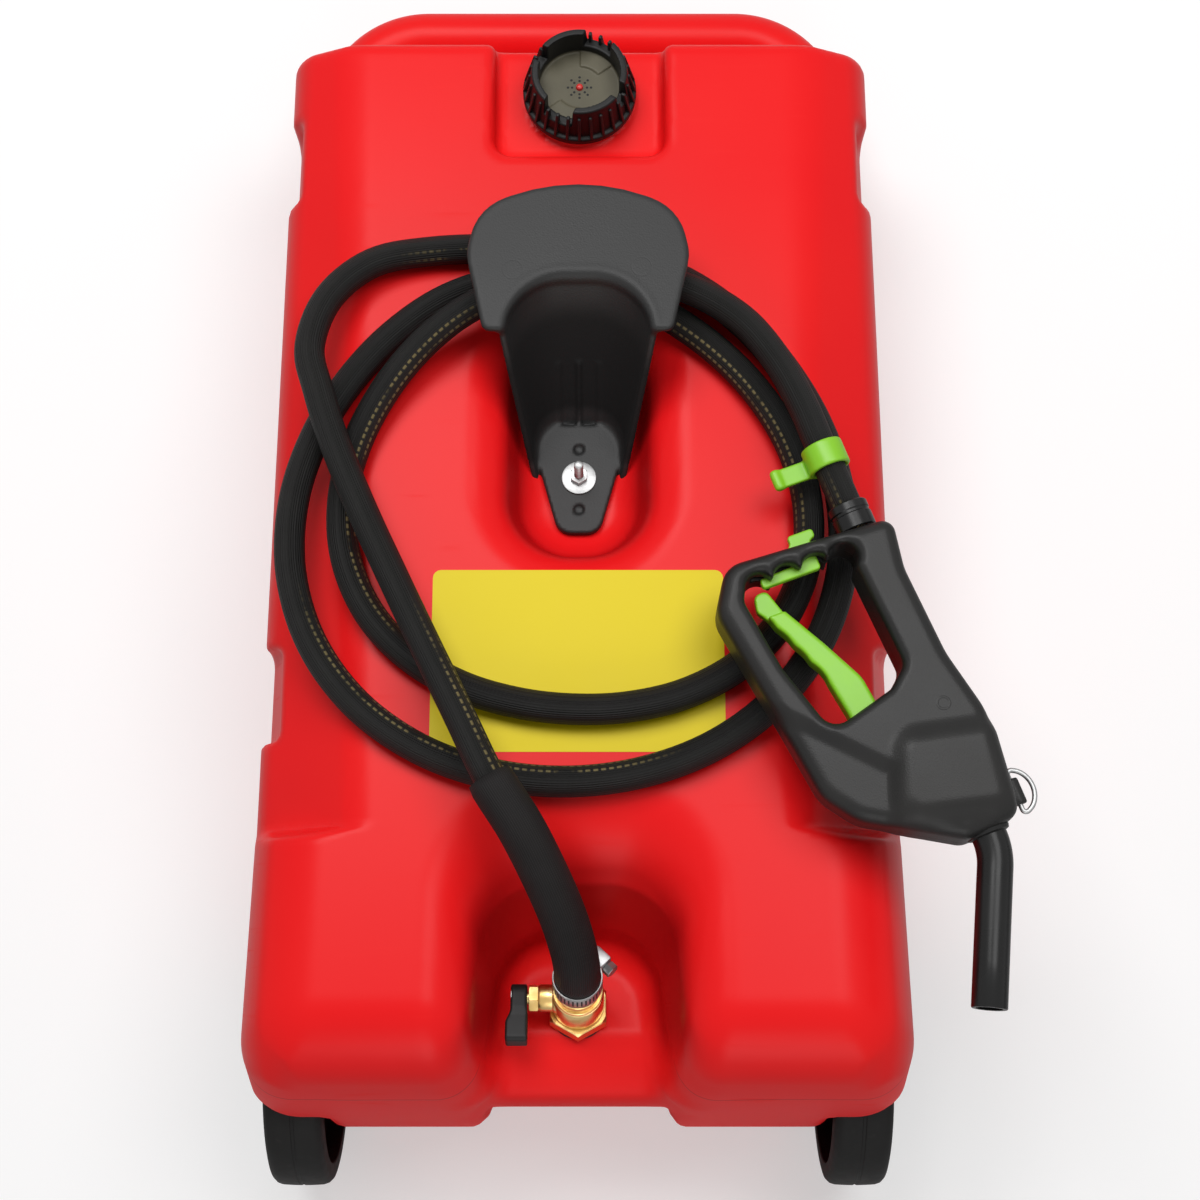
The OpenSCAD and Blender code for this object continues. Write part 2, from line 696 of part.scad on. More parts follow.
module valve_lever() {
    grip_d = 14;
    color("#202020") at_valve() translate([0, 0, ball_z]) difference() {
        union() {
            rod(-stem_out, -lever_in, 17);
            hull() for (y = [0, -10]) translate([0, y, 0]) rod(-stem_out, -lever_in, grip_d - 2);
            hull() for (y = [-14, grip_d / 2 - lever_length])
                translate([0, y, 0]) rod(-grip_in - grip_thick, -grip_in, grip_d, $fn = 32);
        }
        rod(-stem_out - 1, -lever_in + 1, stem_d + 2 * snug);
        rod(-stem_out - 1, -nut_seat, 13);
    }
}
module lever_nut() {
    color("silver") at_valve() translate([-nut_seat, 0, ball_z]) rotate([0, -90, 0]) difference() {
        cylinder(h = lever_nut_h, d = 11, $fn = 6);
        translate([0, 0, -1]) cylinder(h = lever_nut_h + 2, d = stem_thread + 2 * snug);
    }
}
module hose_barb() {
    barb_d = hose_bore - 4 * run_gap;
    color("goldenrod") at_valve() difference() {
        union() {
            translate([0, 0, body_top - 1]) cylinder(h = 1, r = chamber_r - run_gap);
            translate([0, 0, body_top]) cylinder(h = tail_flange, d = valve_d - 4);
            translate([0, 0, barb_low]) cylinder(h = barb_length, d = barb_d - 1);
            for (k = [0 : 2])
                translate([0, 0, barb_low + 2 + 7 * k]) cylinder(h = 5, d1 = barb_d, d2 = barb_d - 1);
        }
        translate([0, 0, body_top - 2]) cylinder(h = tail_flange + barb_length + 3, d = ball_bore - 4);
    }
}
band_low = barb_low + 5;
band_h = 12;
band_thick = 0.9;
worm_d = 6;
clamp_turn = 45;
worm_x = sleeve_d / 2 + band_thick + worm_d / 2 + 1;
module hose_clamp_band() {
    color("silver") at_valve() translate([0, 0, band_low]) rotate(clamp_turn) difference() {
        union() {
            cylinder(h = band_h, d = sleeve_d + 2 * band_thick + 2 * loose);
            translate([sleeve_d / 2 - 2, -6, -1]) cube([worm_d + 6, 12, band_h + 2]);
        }
        translate([0, 0, -2]) cylinder(h = band_h + 4, d = sleeve_d + 2 * loose);
        translate([worm_x, 0, band_h / 2]) rotate([90, 0, 0])
            cylinder(h = 40, d = worm_d + 2 * run_gap, center = true);
    }
}
module hose_clamp_screw() {
    color("silver") at_valve() rotate(clamp_turn) translate([worm_x, 0, band_low + band_h / 2]) rotate([90, 0, 0]) {
        translate([0, 0, -8]) cylinder(h = 14 + loose, d = worm_d);
        translate([0, 0, 6 + loose]) cylinder(h = 5, d = 9, $fn = 6);
    }
}

// Hose: one path from the valve to the nozzle, cut into three stretches

hose_sides = 8;
// The climb out of the valve's bay and over the turns: places on the panel and heights above it
riser_points = [
    [-2, -246, -5], [-8, -229, 16], [-18, -208, 33], [-32, -182, 43], [-50, -154, 47], [-69, -115, 45],
    [-88, -76, 40], [-109, -32, 35], [-130, 13, 31], [-148, 56, 30], [-160, 92, 29], [-167, 123, 25],
    [-157, 159, 19], [-131, 185, 14], [-95, 195, 10], [-50, 197, 10]];
sleeve_rings = 7;
riser_path = concat(
    [for (z = [0.3, 12, barb_length + 2]) on_valve_at(barb_low + z)],
    [for (p = riser_points) on_panel_at(p)]);
// Two loose turns round the hanger, clockwise from the top, each a lobed circle about the same middle
turn_mid = [-4, 26];
turn_steps = 24;
function outer_radius(a) = outer_turn - 12 * cos(a) - 4 * sin(a) + 4 * cos(3 * a);
function inner_radius(a) = inner_turn + 2 * sin(a) - 4 * cos(2 * a) - 2 * sin(2 * a) + 4 * cos(3 * a);
function turn_radius(a) = mix(outer_radius(a) + 10 * (1 - smooth(a / 140)), inner_radius(a), smooth((a - 320) / 80));
function turn_height(a) = mix(hose_rest, hose_over, smooth((a - 640) / 70));
coil_path = [for (k = [0 : 2 * turn_steps])
    let (a = 360 * k / turn_steps, r = turn_radius(a))
    on_panel_at([turn_mid[0] + r * sin(a), turn_mid[1] + r * cos(a), turn_height(a)])];
// The last stretch, over the turns and down the line of the nozzle
tail_points = [[32, 168, 30], [68, 160, 30], [101, 139, 31], [123, 109, 34]];
tail_end = 12;
tail_path = concat(
    [for (p = tail_points) on_panel_at(p)],
    [for (x = [-75, -50, -20, tail_end]) on_nozzle_at(x)]);
hose_path = concat(riser_path, coil_path, tail_path);
hose_frames = frames(hose_path, panel_up);
coil_first = len(riser_path);
coil_last = coil_first + 2 * turn_steps;
module hose_between(first, last) {
    stretch = cut(hose_frames, first, last);
    bored_skin(rings_on(stretch, hose_d / 2, hose_sides),
        rings_on(stretch, hose_bore / 2 / cos(180 / hose_sides), hose_sides));
}
module hose_riser() { color("#1c1c1c") hose_between(0, coil_first); }
module hose_coil() { color("#1c1c1c") hose_between(coil_first, coil_last); }
module hose_tail() { color("#1c1c1c") hose_between(coil_last, len(hose_path) - 1); }
module hose_sleeve() {
    stretch = cut(hose_frames, 0, sleeve_rings);
    color("#2a2a2a") bored_skin(rings_on(stretch, sleeve_d / 2, hose_sides),
        rings_on(stretch, hose_d / 2 + loose, hose_sides));
}
// The least gap between turns, measured on points 5 degrees apart
turn_points = [for (a = [0 : 5 : 720])
    let (r = turn_radius(a)) [turn_mid[0] + r * sin(a), turn_mid[1] + r * cos(a), turn_height(a)]];
turn_gap = min([for (i = [0 : 144], j = [i + 36 : 1 : 144]) norm(turn_points[i] - turn_points[j])]) - hose_d;
echo(turn_gap = turn_gap);

clip_x = -38;
clip_length = 16;
clip_thick = 3.2;
clip_tab = 34;
module hose_clip() {
    color("yellowgreen") at_nozzle() difference() {
        union() {
            rod(clip_x - clip_length / 2, clip_x + clip_length / 2, hose_d + 2 * clip_thick + 2 * loose);
            translate([clip_x - clip_length / 2 + 3, -clip_tab, -8]) cube([clip_length - 3, clip_tab, 3]);
        }
        rod(clip_x - clip_length, clip_x + clip_length, hose_d + 2 * loose);
    }
}
ferrule_d = 25;
ferrule_length = 17;
module hose_ferrule() {
    color("black") at_nozzle() difference() {
        rod(tail_end - ferrule_length, tail_end, ferrule_d);
        rod(tail_end - ferrule_length - 1, tail_end + 1, hose_d + 2 * loose);
    }
}

// Nozzle, in its own frame

nozzle_half = nozzle_thickness / 2;
grip_end = 14;
nose_x = 204;
nozzle_outline = [
    [grip_end, 20], [46, 14.5], [102, 17], [141, 25], [nose_x, 19], [nose_x + 3, -15], [175, -69], [155, -83],
    [96, -91], [33, -100], [8, -84]];
nozzle_rounds = [8, 40, 60, 50, 9, 12, 30, 25, 60, 18, 16];
grip_opening = [[25, -83], [25, -12.5], [100, -9], [111, -22], [122, -63], [78, -76]];
opening_rounds = [9, 6, 9, 8, 11, 40];
trigger_at = [154, -45];
latch_at = [15, -36];
latch_pin_d = 4;
pin_reach = 13;
latch_thick = 5;
latch_low = 1;
spool_x = 132;
spool_d = 14;
spool_low = -28;
spool_top = 4;
spool_pin_d = 5;
flow_d = 6.4;
core_d = 10.8;
block_d = 24;
block_low = -20;
block_top = 14;
core_start = 26;
core_end = 194;
inlet_flange = 17;
screw_places = [[38, -90], [104, -80], [174, -50], [152, 15]];
screw_d = 3;
screw_head_d = 6;
screw_boss_d = 9;
bulge_x = 167;
bulge_d = 40;
bulge_rise = 5;
bail_y = 24;
bail_x = 190;
ear_length = 16;
ear_d = 9;
spout_seat = 188;
module nozzle_face() {
    difference() {
        polygon(rounded(nozzle_outline, nozzle_rounds, 6));
        polygon(rounded(grip_opening, opening_rounds, 6));
    }
}
// The half of the shell above its parting plane, without the screw holes
module nozzle_half_shell() {
    inner = nozzle_half - nozzle_wall;
    difference() {
        union() {
            difference() {
                union() {
                    linear_extrude(nozzle_half) nozzle_face();
                    translate([bulge_x, 0, 0]) hull() for (y = [-33, 0])
                        translate([0, y, 0]) cylinder(h = nozzle_half + bulge_rise, d1 = bulge_d, d2 = bulge_d - 8, $fn = 32);
                }
                translate([0, 0, -1]) linear_extrude(inner + 1) offset(delta = -nozzle_wall) nozzle_face();
            }
            translate([trigger_at[0], trigger_at[1], trigger_width / 2 + loose])
                cylinder(h = nozzle_half - trigger_width / 2 - loose, d = 2 * trigger_pin_d);
            translate([latch_at[0], latch_at[1], latch_low + latch_thick + loose])
                cylinder(h = nozzle_half - latch_low - latch_thick - loose, d = 2 * latch_pin_d);
            for (p = screw_places) translate([p[0], p[1], 0]) cylinder(h = inner + 1, d = screw_boss_d);
            intersection() {
                translate([0, bail_y, 0]) rod(bail_x - ear_length / 2, bail_x + ear_length / 2, ear_d);
                translate([0, 0, 0]) cube([nose_x, 2 * bail_y, ear_d]);
            }
        }
        rod(0, inlet_flange, core_d + 2 * run_gap);
        rod(core_end, nose_x + 20, spout_d + 2 * snug);
        translate([96, -64, -1]) cube([40, 48, trigger_width / 2 + loose + 1]);
        translate([0, -72, -1]) cube([28, 46, latch_low + latch_thick + loose + 1]);
        translate([trigger_at[0], trigger_at[1], -1]) cylinder(h = pin_reach + 1 + loose, d = trigger_pin_d + 2 * snug);
        translate([latch_at[0], latch_at[1], -1]) cylinder(h = pin_reach + 1 + loose, d = latch_pin_d + 2 * snug);
        translate([0, bail_y, 0]) rod(bail_x - ear_length, bail_x + ear_length, bail_wire + 2 * run_gap);
        spool_room();
    }
}
// Room for the valve block and its plug inside the shell
module spool_room() {
    translate([spool_x, block_low - loose, 0]) rotate([-90, 0, 0])
        cylinder(h = block_top - block_low + 4 + 2 * loose, d = block_d + 2 * loose);
}
module nozzle_upper_shell() {
    color("#232323") at_nozzle() difference() {
        nozzle_half_shell();
        for (p = screw_places) translate([p[0], p[1], -1]) cylinder(h = 13, d = screw_d + 2 * snug);
    }
}
module nozzle_lower_shell() {
    color("#1e1e1e") at_nozzle() difference() {
        mirror([0, 0, 1]) nozzle_half_shell();
        for (p = screw_places) {
            translate([p[0], p[1], -nozzle_half - 1]) cylinder(h = nozzle_half + 2, d = screw_d + 4 * run_gap);
            translate([p[0], p[1], -nozzle_half - 1]) cylinder(h = 5, d = screw_head_d + 1);
        }
    }
}
module nozzle_screws() {
    color("silver") at_nozzle() for (p = screw_places) translate([p[0], p[1], -nozzle_half + 1]) {
        cylinder(h = 3, d = screw_head_d);
        translate([0, 0, 2]) cylinder(h = nozzle_half + 8, d = screw_d);
    }
}
module nozzle_inlet() {
    barb_d = hose_bore - 4 * run_gap;
    color("goldenrod") at_nozzle() difference() {
        union() {
            rod(tail_end - 26, tail_end, barb_d);
            rod(tail_end - 1, core_start, core_d);
            rod(inlet_flange + loose, inlet_flange + 4, core_d + 4);
        }
        rod(tail_end - 30, core_start + 1, flow_d);
    }
}
module nozzle_core() {
    color("gray") at_nozzle() difference() {
        union() {
            rod(core_start, core_end, core_d);
            translate([spool_x, block_low, 0]) rotate([-90, 0, 0]) cylinder(h = block_top - block_low, d = block_d);
        }
        rod(core_start - 1, core_end + 1, flow_d);
        translate([spool_x, block_low - 1, 0]) rotate([-90, 0, 0])
            cylinder(h = block_top - block_low + 2, d = spool_d + 2 * run_gap);
    }
}
spool_travel = 6.4;
module nozzle_spool() {
    color("silver") at_nozzle() translate([spool_x, 0, 0]) rotate([-90, 0, 0]) {
        translate([0, 0, spool_low]) cylinder(h = spool_top - spool_low, d = spool_pin_d);
        translate([0, 0, -flow_d / 2 - 1.3]) cylinder(h = spool_top + flow_d / 2 + 1.3, d = spool_d);
        translate([0, 0, block_low + 1]) cylinder(h = 7, d = spool_d);
    }
}
// The return spring: a helix with its ends ground flat to the spool and the plug
spring_curls = 3;
spring_wire = 0.9;
module spool_spring() {
    low = spool_top + spring_wire / 2 + 0.1;
    high = block_top - spring_wire / 2 - 0.1;
    path = [for (k = [0 : 8 * spring_curls])
        let (a = 45 * k, r = spool_d / 2 - spring_wire / 2 - 0.3)
        [r * cos(a), mix(low, high, k / (8 * spring_curls)), r * sin(a)]];
    color("silver") at_nozzle() translate([spool_x, 0, 0])
        skin(rings_on(frames(path, [0, 1, 0]), spring_wire / 2, 6));
}
module spool_plug() {
    color("gray") at_nozzle() translate([spool_x, block_top, 0]) rotate([-90, 0, 0])
        cylinder(h = 4, d = block_d - 2);
}
module trigger() {
    half = trigger_width / 2;
    color("yellowgreen") at_nozzle() difference() {
        translate([0, 0, -half]) linear_extrude(trigger_width) polygon(rounded(
            [[27, -65], [44, -60], [70, -46], [97, -33], [spool_x + 4, spool_low - 0.6],
                [trigger_at[0] + 9, trigger_at[1] + 3], [trigger_at[0] + 3, trigger_at[1] - 9], [117, -49],
                [90, -53], [62, -64], [38, -75], [28, -73]],
            [4, 14, 30, 20, 12, 7, 7, 14, 8, 8, 5, 4], 4));
        translate([trigger_at[0], trigger_at[1], -half - 1])
            cylinder(h = trigger_width + 2, d = trigger_pin_d + 2 * run_gap);
        translate([20, -90, latch_low - loose]) cube([24, 40, half]);
    }
}
module trigger_pin() {
    color("silver") at_nozzle() translate([trigger_at[0], trigger_at[1], -pin_reach])
        cylinder(h = 2 * pin_reach, d = trigger_pin_d);
}
module trigger_latch() {
    color("yellowgreen") at_nozzle() difference() {
        translate([0, 0, latch_low]) linear_extrude(latch_thick) polygon(rounded(
            [[2, -26], [2, -42], [7, -42], [9, -44], [20, -44], [21, -67], [27, -67], [27, -30], [9, -30], [7, -26]],
            [2, 2, 2, 1, 2, 2, 2, 2, 1, 2], 3));
        translate([latch_at[0], latch_at[1], 0]) cylinder(h = 10, d = latch_pin_d + 2 * run_gap);
    }
}
module latch_pin() {
    color("silver") at_nozzle() translate([latch_at[0], latch_at[1], -pin_reach])
        cylinder(h = 2 * pin_reach, d = latch_pin_d);
}
spout_root = 208;
spout_bend_r = 40;
// The spout: a straight root, a bend and a straight end, each a length of the same tube
module tube(x0, x1) {
    difference() {
        rod(x0, x1, spout_d);
        rod(x0 - 1, x1 + 1, spout_bore);
    }
}
spout_sides = 24;
spout_bend_path = concat(
    [[spout_root - 1, 0, 0]],
    [for (a = [0 : 4]) let (b = spout_bend * a / 4)
        [spout_root + spout_bend_r * sin(b), spout_bend_r * cos(b) - spout_bend_r, 0]],
    [[spout_root + spout_bend_r * sin(spout_bend) + cos(spout_bend),
        spout_bend_r * cos(spout_bend) - spout_bend_r - sin(spout_bend), 0]]);
module spout() {
    bend = frames(spout_bend_path, [0, 0, 1]);
    color("#1a1a1a") at_nozzle() {
        tube(spout_seat, spout_root);
        bored_skin(rings_on(bend, spout_d / 2 - run_gap, spout_sides),
            rings_on(bend, spout_bore / 2 / cos(180 / spout_sides) + run_gap, spout_sides));
        translate([spout_root, -spout_bend_r, 0]) rotate(-spout_bend) translate([0, spout_bend_r, 0])
            tube(0, spout_length);
        difference() {
            union() {
                rod(nose_x - 8, nose_x - 3, spout_d + 5);
                rod(nose_x + 3, nose_x + 4, spout_d + 3);
            }
            rod(nose_x - 9, nose_x + 5, spout_d - 1);
        }
    }
}
module spout_seal() {
    color("black") at_nozzle() difference() {
        rod(core_end - 4, core_end - 1, spout_bore - 2 * snug);
        rod(core_end - 5, core_end, core_d + 2 * snug);
    }
}
bail_bow = 11;
bail_reach = 13;
module wire_bail() {
    r = bail_wire / 2;
    color("darkgray") at_nozzle() translate([bail_x, bail_y, 0]) {
        for (side = [-1, 1]) scale([side, 1, 1]) rod(ear_length / 2 - 5, bail_reach + r / 2, bail_wire);
        skin(rings_on(frames(
            [for (a = [0 : 15 : 180]) [bail_reach * cos(a), bail_bow * sin(a) - (a % 180 == 0 ? r / 2 : 0), 0]],
            [0, 0, 1]), r - run_gap, 8));
    }
}

tank();
label();
wheel_left();
wheel_right();
axle();
axle_caps();
cap();
cap_gasket();
cap_vent();
hanger();
hanger_stud();
hanger_washer();
hanger_nut();
outlet_gasket();
outlet_nut();
valve_body();
valve_seats();
valve_ball();
valve_stem();
packing_nut();
valve_lever();
lever_nut();
hose_barb();
hose_clamp_band();
hose_clamp_screw();
hose_sleeve();
hose_riser();
hose_coil();
hose_tail();
hose_clip();
hose_ferrule();
nozzle_inlet();
nozzle_core();
nozzle_spool();
spool_spring();
spool_plug();
nozzle_lower_shell();
nozzle_upper_shell();
nozzle_screws();
trigger();
trigger_pin();
trigger_latch();
latch_pin();
spout();
spout_seal();
wire_bail();
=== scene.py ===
import math

import bmesh
import bpy
import numpy as np
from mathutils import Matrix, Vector


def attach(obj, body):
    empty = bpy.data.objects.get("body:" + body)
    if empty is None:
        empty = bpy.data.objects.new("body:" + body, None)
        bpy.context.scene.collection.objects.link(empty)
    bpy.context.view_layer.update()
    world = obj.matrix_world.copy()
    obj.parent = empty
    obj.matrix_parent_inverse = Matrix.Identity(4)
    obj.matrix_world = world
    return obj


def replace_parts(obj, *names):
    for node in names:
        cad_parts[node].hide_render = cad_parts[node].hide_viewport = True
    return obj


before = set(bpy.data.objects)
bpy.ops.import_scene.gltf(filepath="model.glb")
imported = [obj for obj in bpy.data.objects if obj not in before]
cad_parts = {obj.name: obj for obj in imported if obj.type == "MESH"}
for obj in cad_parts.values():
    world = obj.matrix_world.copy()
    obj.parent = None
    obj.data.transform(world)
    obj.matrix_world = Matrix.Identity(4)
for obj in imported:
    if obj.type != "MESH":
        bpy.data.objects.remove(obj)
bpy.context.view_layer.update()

# The view: the caddy lies on its back on a pale floor and is seen from almost straight above its front.
# One long lens stands over the foot end and leans towards the handle.
scene = bpy.context.scene
scene.view_settings.view_transform = "Standard"
camera_data = bpy.data.cameras.new("camera")
camera_data.lens = 61.8
camera_data.sensor_width = 36.0
camera = bpy.data.objects.new("camera", camera_data)
scene.collection.objects.link(camera)
camera.location = (0.0135, -0.2852, 1.4717)
camera.rotation_euler = (math.radians(11.5), 0, 0)
scene.camera = camera


class Wire:
    """A shader socket that takes part in sums; node() adds any other node to its tree."""

    def __init__(self, tree, socket=None):
        self.tree = tree
        self.socket = socket

    def node(self, kind, settings=None, out=0, **inputs):
        made = self.tree.nodes.new("ShaderNode" + kind)
        for key, value in (settings or {}).items():
            if key == "stops":
                ramp = made.color_ramp
                while len(ramp.elements) < len(value):
                    ramp.elements.new(0.5)
                for stop, (place, colour) in zip(ramp.elements, value):
                    stop.position = place
                    stop.color = (*colour, 1)
            else:
                setattr(made, key, value)
        for key, value in inputs.items():
            socket = made.inputs[int(key[1:]) if key[1:].isdigit() else key.replace("_", " ")]
            if isinstance(value, Wire):
                self.tree.links.new(value.socket, socket)
            else:
                socket.default_value = value
        return Wire(self.tree, made.outputs[out])

    def sum(self, operation, a, b=0.0, c=0.0):
        return self.node("Math", {"operation": operation}, i0=a, i1=b, i2=c)

    def __add__(self, other):
        return self.sum("ADD", self, other)

    def __radd__(self, other):
        return self.sum("ADD", other, self)

    def __sub__(self, other):
        return self.sum("SUBTRACT", self, other)

    def __rsub__(self, other):
        return self.sum("SUBTRACT", other, self)

    def __mul__(self, other):
        return self.sum("MULTIPLY", self, other)

    def __rmul__(self, other):
        return self.sum("MULTIPLY", other, self)

    def band(self, low, high):
        """0 below low, 1 above high, smooth between."""
        return self.node("MapRange", {"interpolation_type": "SMOOTHSTEP"}, Value=self,
                         From_Min=low, From_Max=high)

    def tint(self, a, b):
        """From colour a to colour b by this value; a plain number is a grey."""
        a, b = (c if isinstance(c, Wire) else (*np.broadcast_to(np.asarray(c, float), 3), 1) for c in (a, b))
        return self.node("Mix", {"data_type": "RGBA"}, 2, i0=self, i6=a, i7=b)

    def output(self, key):
        """Another output of the node that this wire comes from."""
        return Wire(self.tree, self.socket.node.outputs[key])

    def here(self):
        """The place on the surface, in metres."""
        return self.node("TexCoord", out=3)

    def noise(self, scale, detail=2.0):
        return self.node("TexNoise", Vector=self.here(), Scale=scale, Detail=detail)

    def cells(self, scale):
        return self.node("TexVoronoi", Vector=self.here(), Scale=scale)

    def near_zero(self, low, high):
        """1 within low of zero, 0 beyond high."""
        return 1 - self.sum("ABSOLUTE", self).band(low, high)

    def ring(self, point, radius, low, high):
        """A fine circle drawn round a point of the surface."""
        away = self.node("VectorMath", {"operation": "DISTANCE"}, 1, i0=self.here(), i1=tuple(point))
        return (away - radius).near_zero(low, high)

    def bump(self, strength, distance):
        """The surface's normal with this value as its height."""
        return self.node("Bump", Strength=strength, Distance=distance, Height=self)


def new_finish(name, **values):
    """A material with its shader's fixed values set, a wire to build on and a setter for the rest."""
    material = bpy.data.materials.new(name)
    material.use_nodes = True
    tree = material.node_tree
    shader = tree.nodes["Principled BSDF"]
    for key, value in values.items():
        shader.inputs[key.replace("_", " ")].default_value = value

    def feed(**wires):
        for key, wire in wires.items():
            tree.links.new(wire.socket, shader.inputs[key.replace("_", " ")])

    return material, Wire(tree), feed


# The stage: a plain pale floor, a white surround and three soft lamps.
# The floor keeps the object's shadow; the surround shows white to the lens and in reflections.
floor_reach = 40
floor_mesh = bpy.data.meshes.new("floor")
floor_corners = [(x * floor_reach, y * floor_reach, 0) for x, y in ((-1, -1), (1, -1), (1, 1), (-1, 1))]
floor_mesh.from_pydata(floor_corners, [], [(0, 1, 2, 3)])
floor = bpy.data.objects.new("floor", floor_mesh)
scene.collection.objects.link(floor)
floor_finish, wire, feed = new_finish("pale_floor", Base_Color=(0.64, 0.64, 0.64, 1), Roughness=0.9,
                                      Emission_Strength=0.4)
feed(Emission_Color=wire.node("LightPath").output("Is Camera Ray").tint(0, 1))
floor_mesh.materials.append(floor_finish)
world = bpy.data.worlds.new("surround")
scene.world = world
world.use_nodes = True
background = world.node_tree.nodes["Background"]
background.inputs[0].default_value = (1, 1, 1, 1)
rays = Wire(world.node_tree).node("LightPath")
shown = rays.output("Is Camera Ray")
for ray in ("Is Glossy Ray", "Is Transmission Ray"):
    shown = shown.sum("MAXIMUM", shown, rays.output(ray))
world.node_tree.links.new((0.2 + 0.8 * shown).socket, background.inputs[1])
for name, place, aim, size, power in (
        ("key_lamp", (-0.5, 0.95, 2.25), (0, 0, 0.1), 1.2, 27.5),
        ("fill_lamp", (0.7, 0.55, 2.3), (0, 0, 0.1), 1.2, 18),
        ("foot_lamp", (0.2, -2.3, 1.5), (0, -0.1, 0.1), 1.4, 11)):
    lamp_data = bpy.data.lights.new(name, "AREA")
    lamp_data.shape = "DISK"
    lamp_data.size = size
    lamp_data.energy = power
    lamp = bpy.data.objects.new(name, lamp_data)
    lamp.location = place
    lamp.rotation_euler = (Vector(aim) - Vector(place)).to_track_quat("-Z", "Y").to_euler()
    scene.collection.objects.link(lamp)

# The hose: half-inch fuel hose with a wrapped rubber cover and a gold tracer, from the valve to the nozzle.
# It climbs out of the valve's bay, crosses over its own turns, makes two loose turns round the hanger
# and comes back over the top to the nozzle.
tilt = math.atan2(62, 706)
panel_mid = 234.0
panel_up = np.array([0.0, math.sin(tilt), math.cos(tilt)])
valve_y, valve_z, lean = -281, 164, math.radians(20)
nozzle_x, nozzle_y, nozzle_h, nozzle_turn = 163, 8, 40, math.radians(-69.4)
full_turn = 2 * math.pi


def axes_of(points):
    """The three coordinates of some points, each as an array."""
    return np.moveaxis(np.asarray(points, float), -1, 0)


def spun(x, y, angle):
    """Two coordinates turned by an angle in their own plane."""
    c, s = math.cos(angle), math.sin(angle)
    return x * c - y * s, x * s + y * c


def on_panel(points):
    """Millimetres across, along and above the sloping front panel, as metres in the frame."""
    x, y, h = axes_of(points)
    y, z = spun(y, h, -tilt)
    return np.stack([x, y, panel_mid + z], -1) / 1000


def off_panel(y, z):
    """Millimetres along and above the panel, from millimetres in the frame."""
    return spun(y, z - panel_mid, tilt)


def on_valve(points):
    """Millimetres in the leaning frame of the outlet valve, as metres in the frame."""
    x, y, z = axes_of(points)
    y, z = spun(y, z, -lean)
    return np.stack([x, valve_y + y, valve_z + z], -1) / 1000


def on_nozzle(points):
    """Millimetres along the flow, away from the trigger and out of the panel, as metres in the frame."""
    x, y, z = axes_of(points)
    x, y = spun(x, y, nozzle_turn)
    return on_panel(np.stack([nozzle_x + x, nozzle_y + y, nozzle_h + z], -1))


def ease(t):
    """0 to 1 with a smooth start and end."""
    t = np.clip(t, 0, 1)
    return t * t * (3 - 2 * t)


hose_d = 0.019
hose_steps = 7
barb_low = 43.0
riser = [[-2, -246, -5], [-8, -229, 16], [-18, -208, 33], [-32, -182, 43], [-50, -154, 47], [-69, -115, 45],
         [-88, -76, 40], [-109, -32, 35], [-130, 13, 31], [-148, 56, 30], [-160, 92, 29], [-167, 123, 25],
         [-157, 159, 19], [-131, 185, 14], [-95, 195, 10], [-50, 197, 10]]
turn = np.radians(np.arange(0, 721, 15.0))
turn_deg = np.degrees(turn)
outer_turn = (167 - 12 * np.cos(turn) - 4 * np.sin(turn) + 4 * np.cos(3 * turn)
              + 10 * (1 - ease(turn_deg / 140)))
inner_turn = 139 + 2 * np.sin(turn) - 4 * np.cos(2 * turn) - 2 * np.sin(2 * turn) + 4 * np.cos(3 * turn)
turn_radius = outer_turn + (inner_turn - outer_turn) * ease((turn_deg - 320) / 80)
turn_height = 10 + 20 * ease((turn_deg - 640) / 70)
coil = np.stack([-4 + turn_radius * np.sin(turn), 26 + turn_radius * np.cos(turn), turn_height], -1)
tail = [[32, 168, 30], [68, 160, 30], [101, 139, 31], [123, 109, 34]]
hose_points = np.concatenate([
    on_valve([[0, 0, barb_low + z] for z in (0.3, 12, 26)]), *map(on_panel, (riser, coil, tail)),
    on_nozzle([[x, 0, 0] for x in (-75, -50, -20, 12)])])


def smooth_path(points, steps):
    """A smooth line through the points, with even steps between each two."""
    p = np.concatenate([[2 * points[0] - points[1]], points, [2 * points[-1] - points[-2]]])
    t = np.linspace(0, 1, steps, endpoint=False)[:, None]
    line = []
    for a, b, c, d in zip(p[:-3], p[1:-2], p[2:-1], p[3:]):
        line.append(0.5 * (2 * b + (c - a) * t + (2 * a - 5 * b + 4 * c - d) * t ** 2
                           + (3 * b - a - 3 * c + d) * t ** 3))
    return np.concatenate([*line, points[-1:]])


def path_length(path):
    """How far along the path each of its points is."""
    return np.concatenate([[0], np.cumsum(np.linalg.norm(np.diff(path, axis=0), axis=1))])


def path_frames(path):
    """At each point of a path, the way along it, across it and up from it."""
    tangent = np.gradient(path, axis=0)
    tangent /= np.linalg.norm(tangent, axis=1)[:, None]
    across = np.cross(tangent, panel_up)
    across /= np.linalg.norm(across, axis=1)[:, None]
    return tangent, across, np.cross(across, tangent)


def new_object(name, vertices, faces, finish=None):
    mesh = bpy.data.meshes.new(name)
    mesh.from_pydata([tuple(v) for v in np.asarray(vertices, float)], [],
                     [tuple(int(i) for i in f) for f in faces])
    mesh.update()
    mesh.shade_smooth()
    if finish:
        mesh.materials.append(finish)
    made = bpy.data.objects.new(name, mesh)
    scene.collection.objects.link(made)
    return made


def round_angles(count):
    """Even angles round a full turn."""
    return np.linspace(0, full_turn, count, endpoint=False)


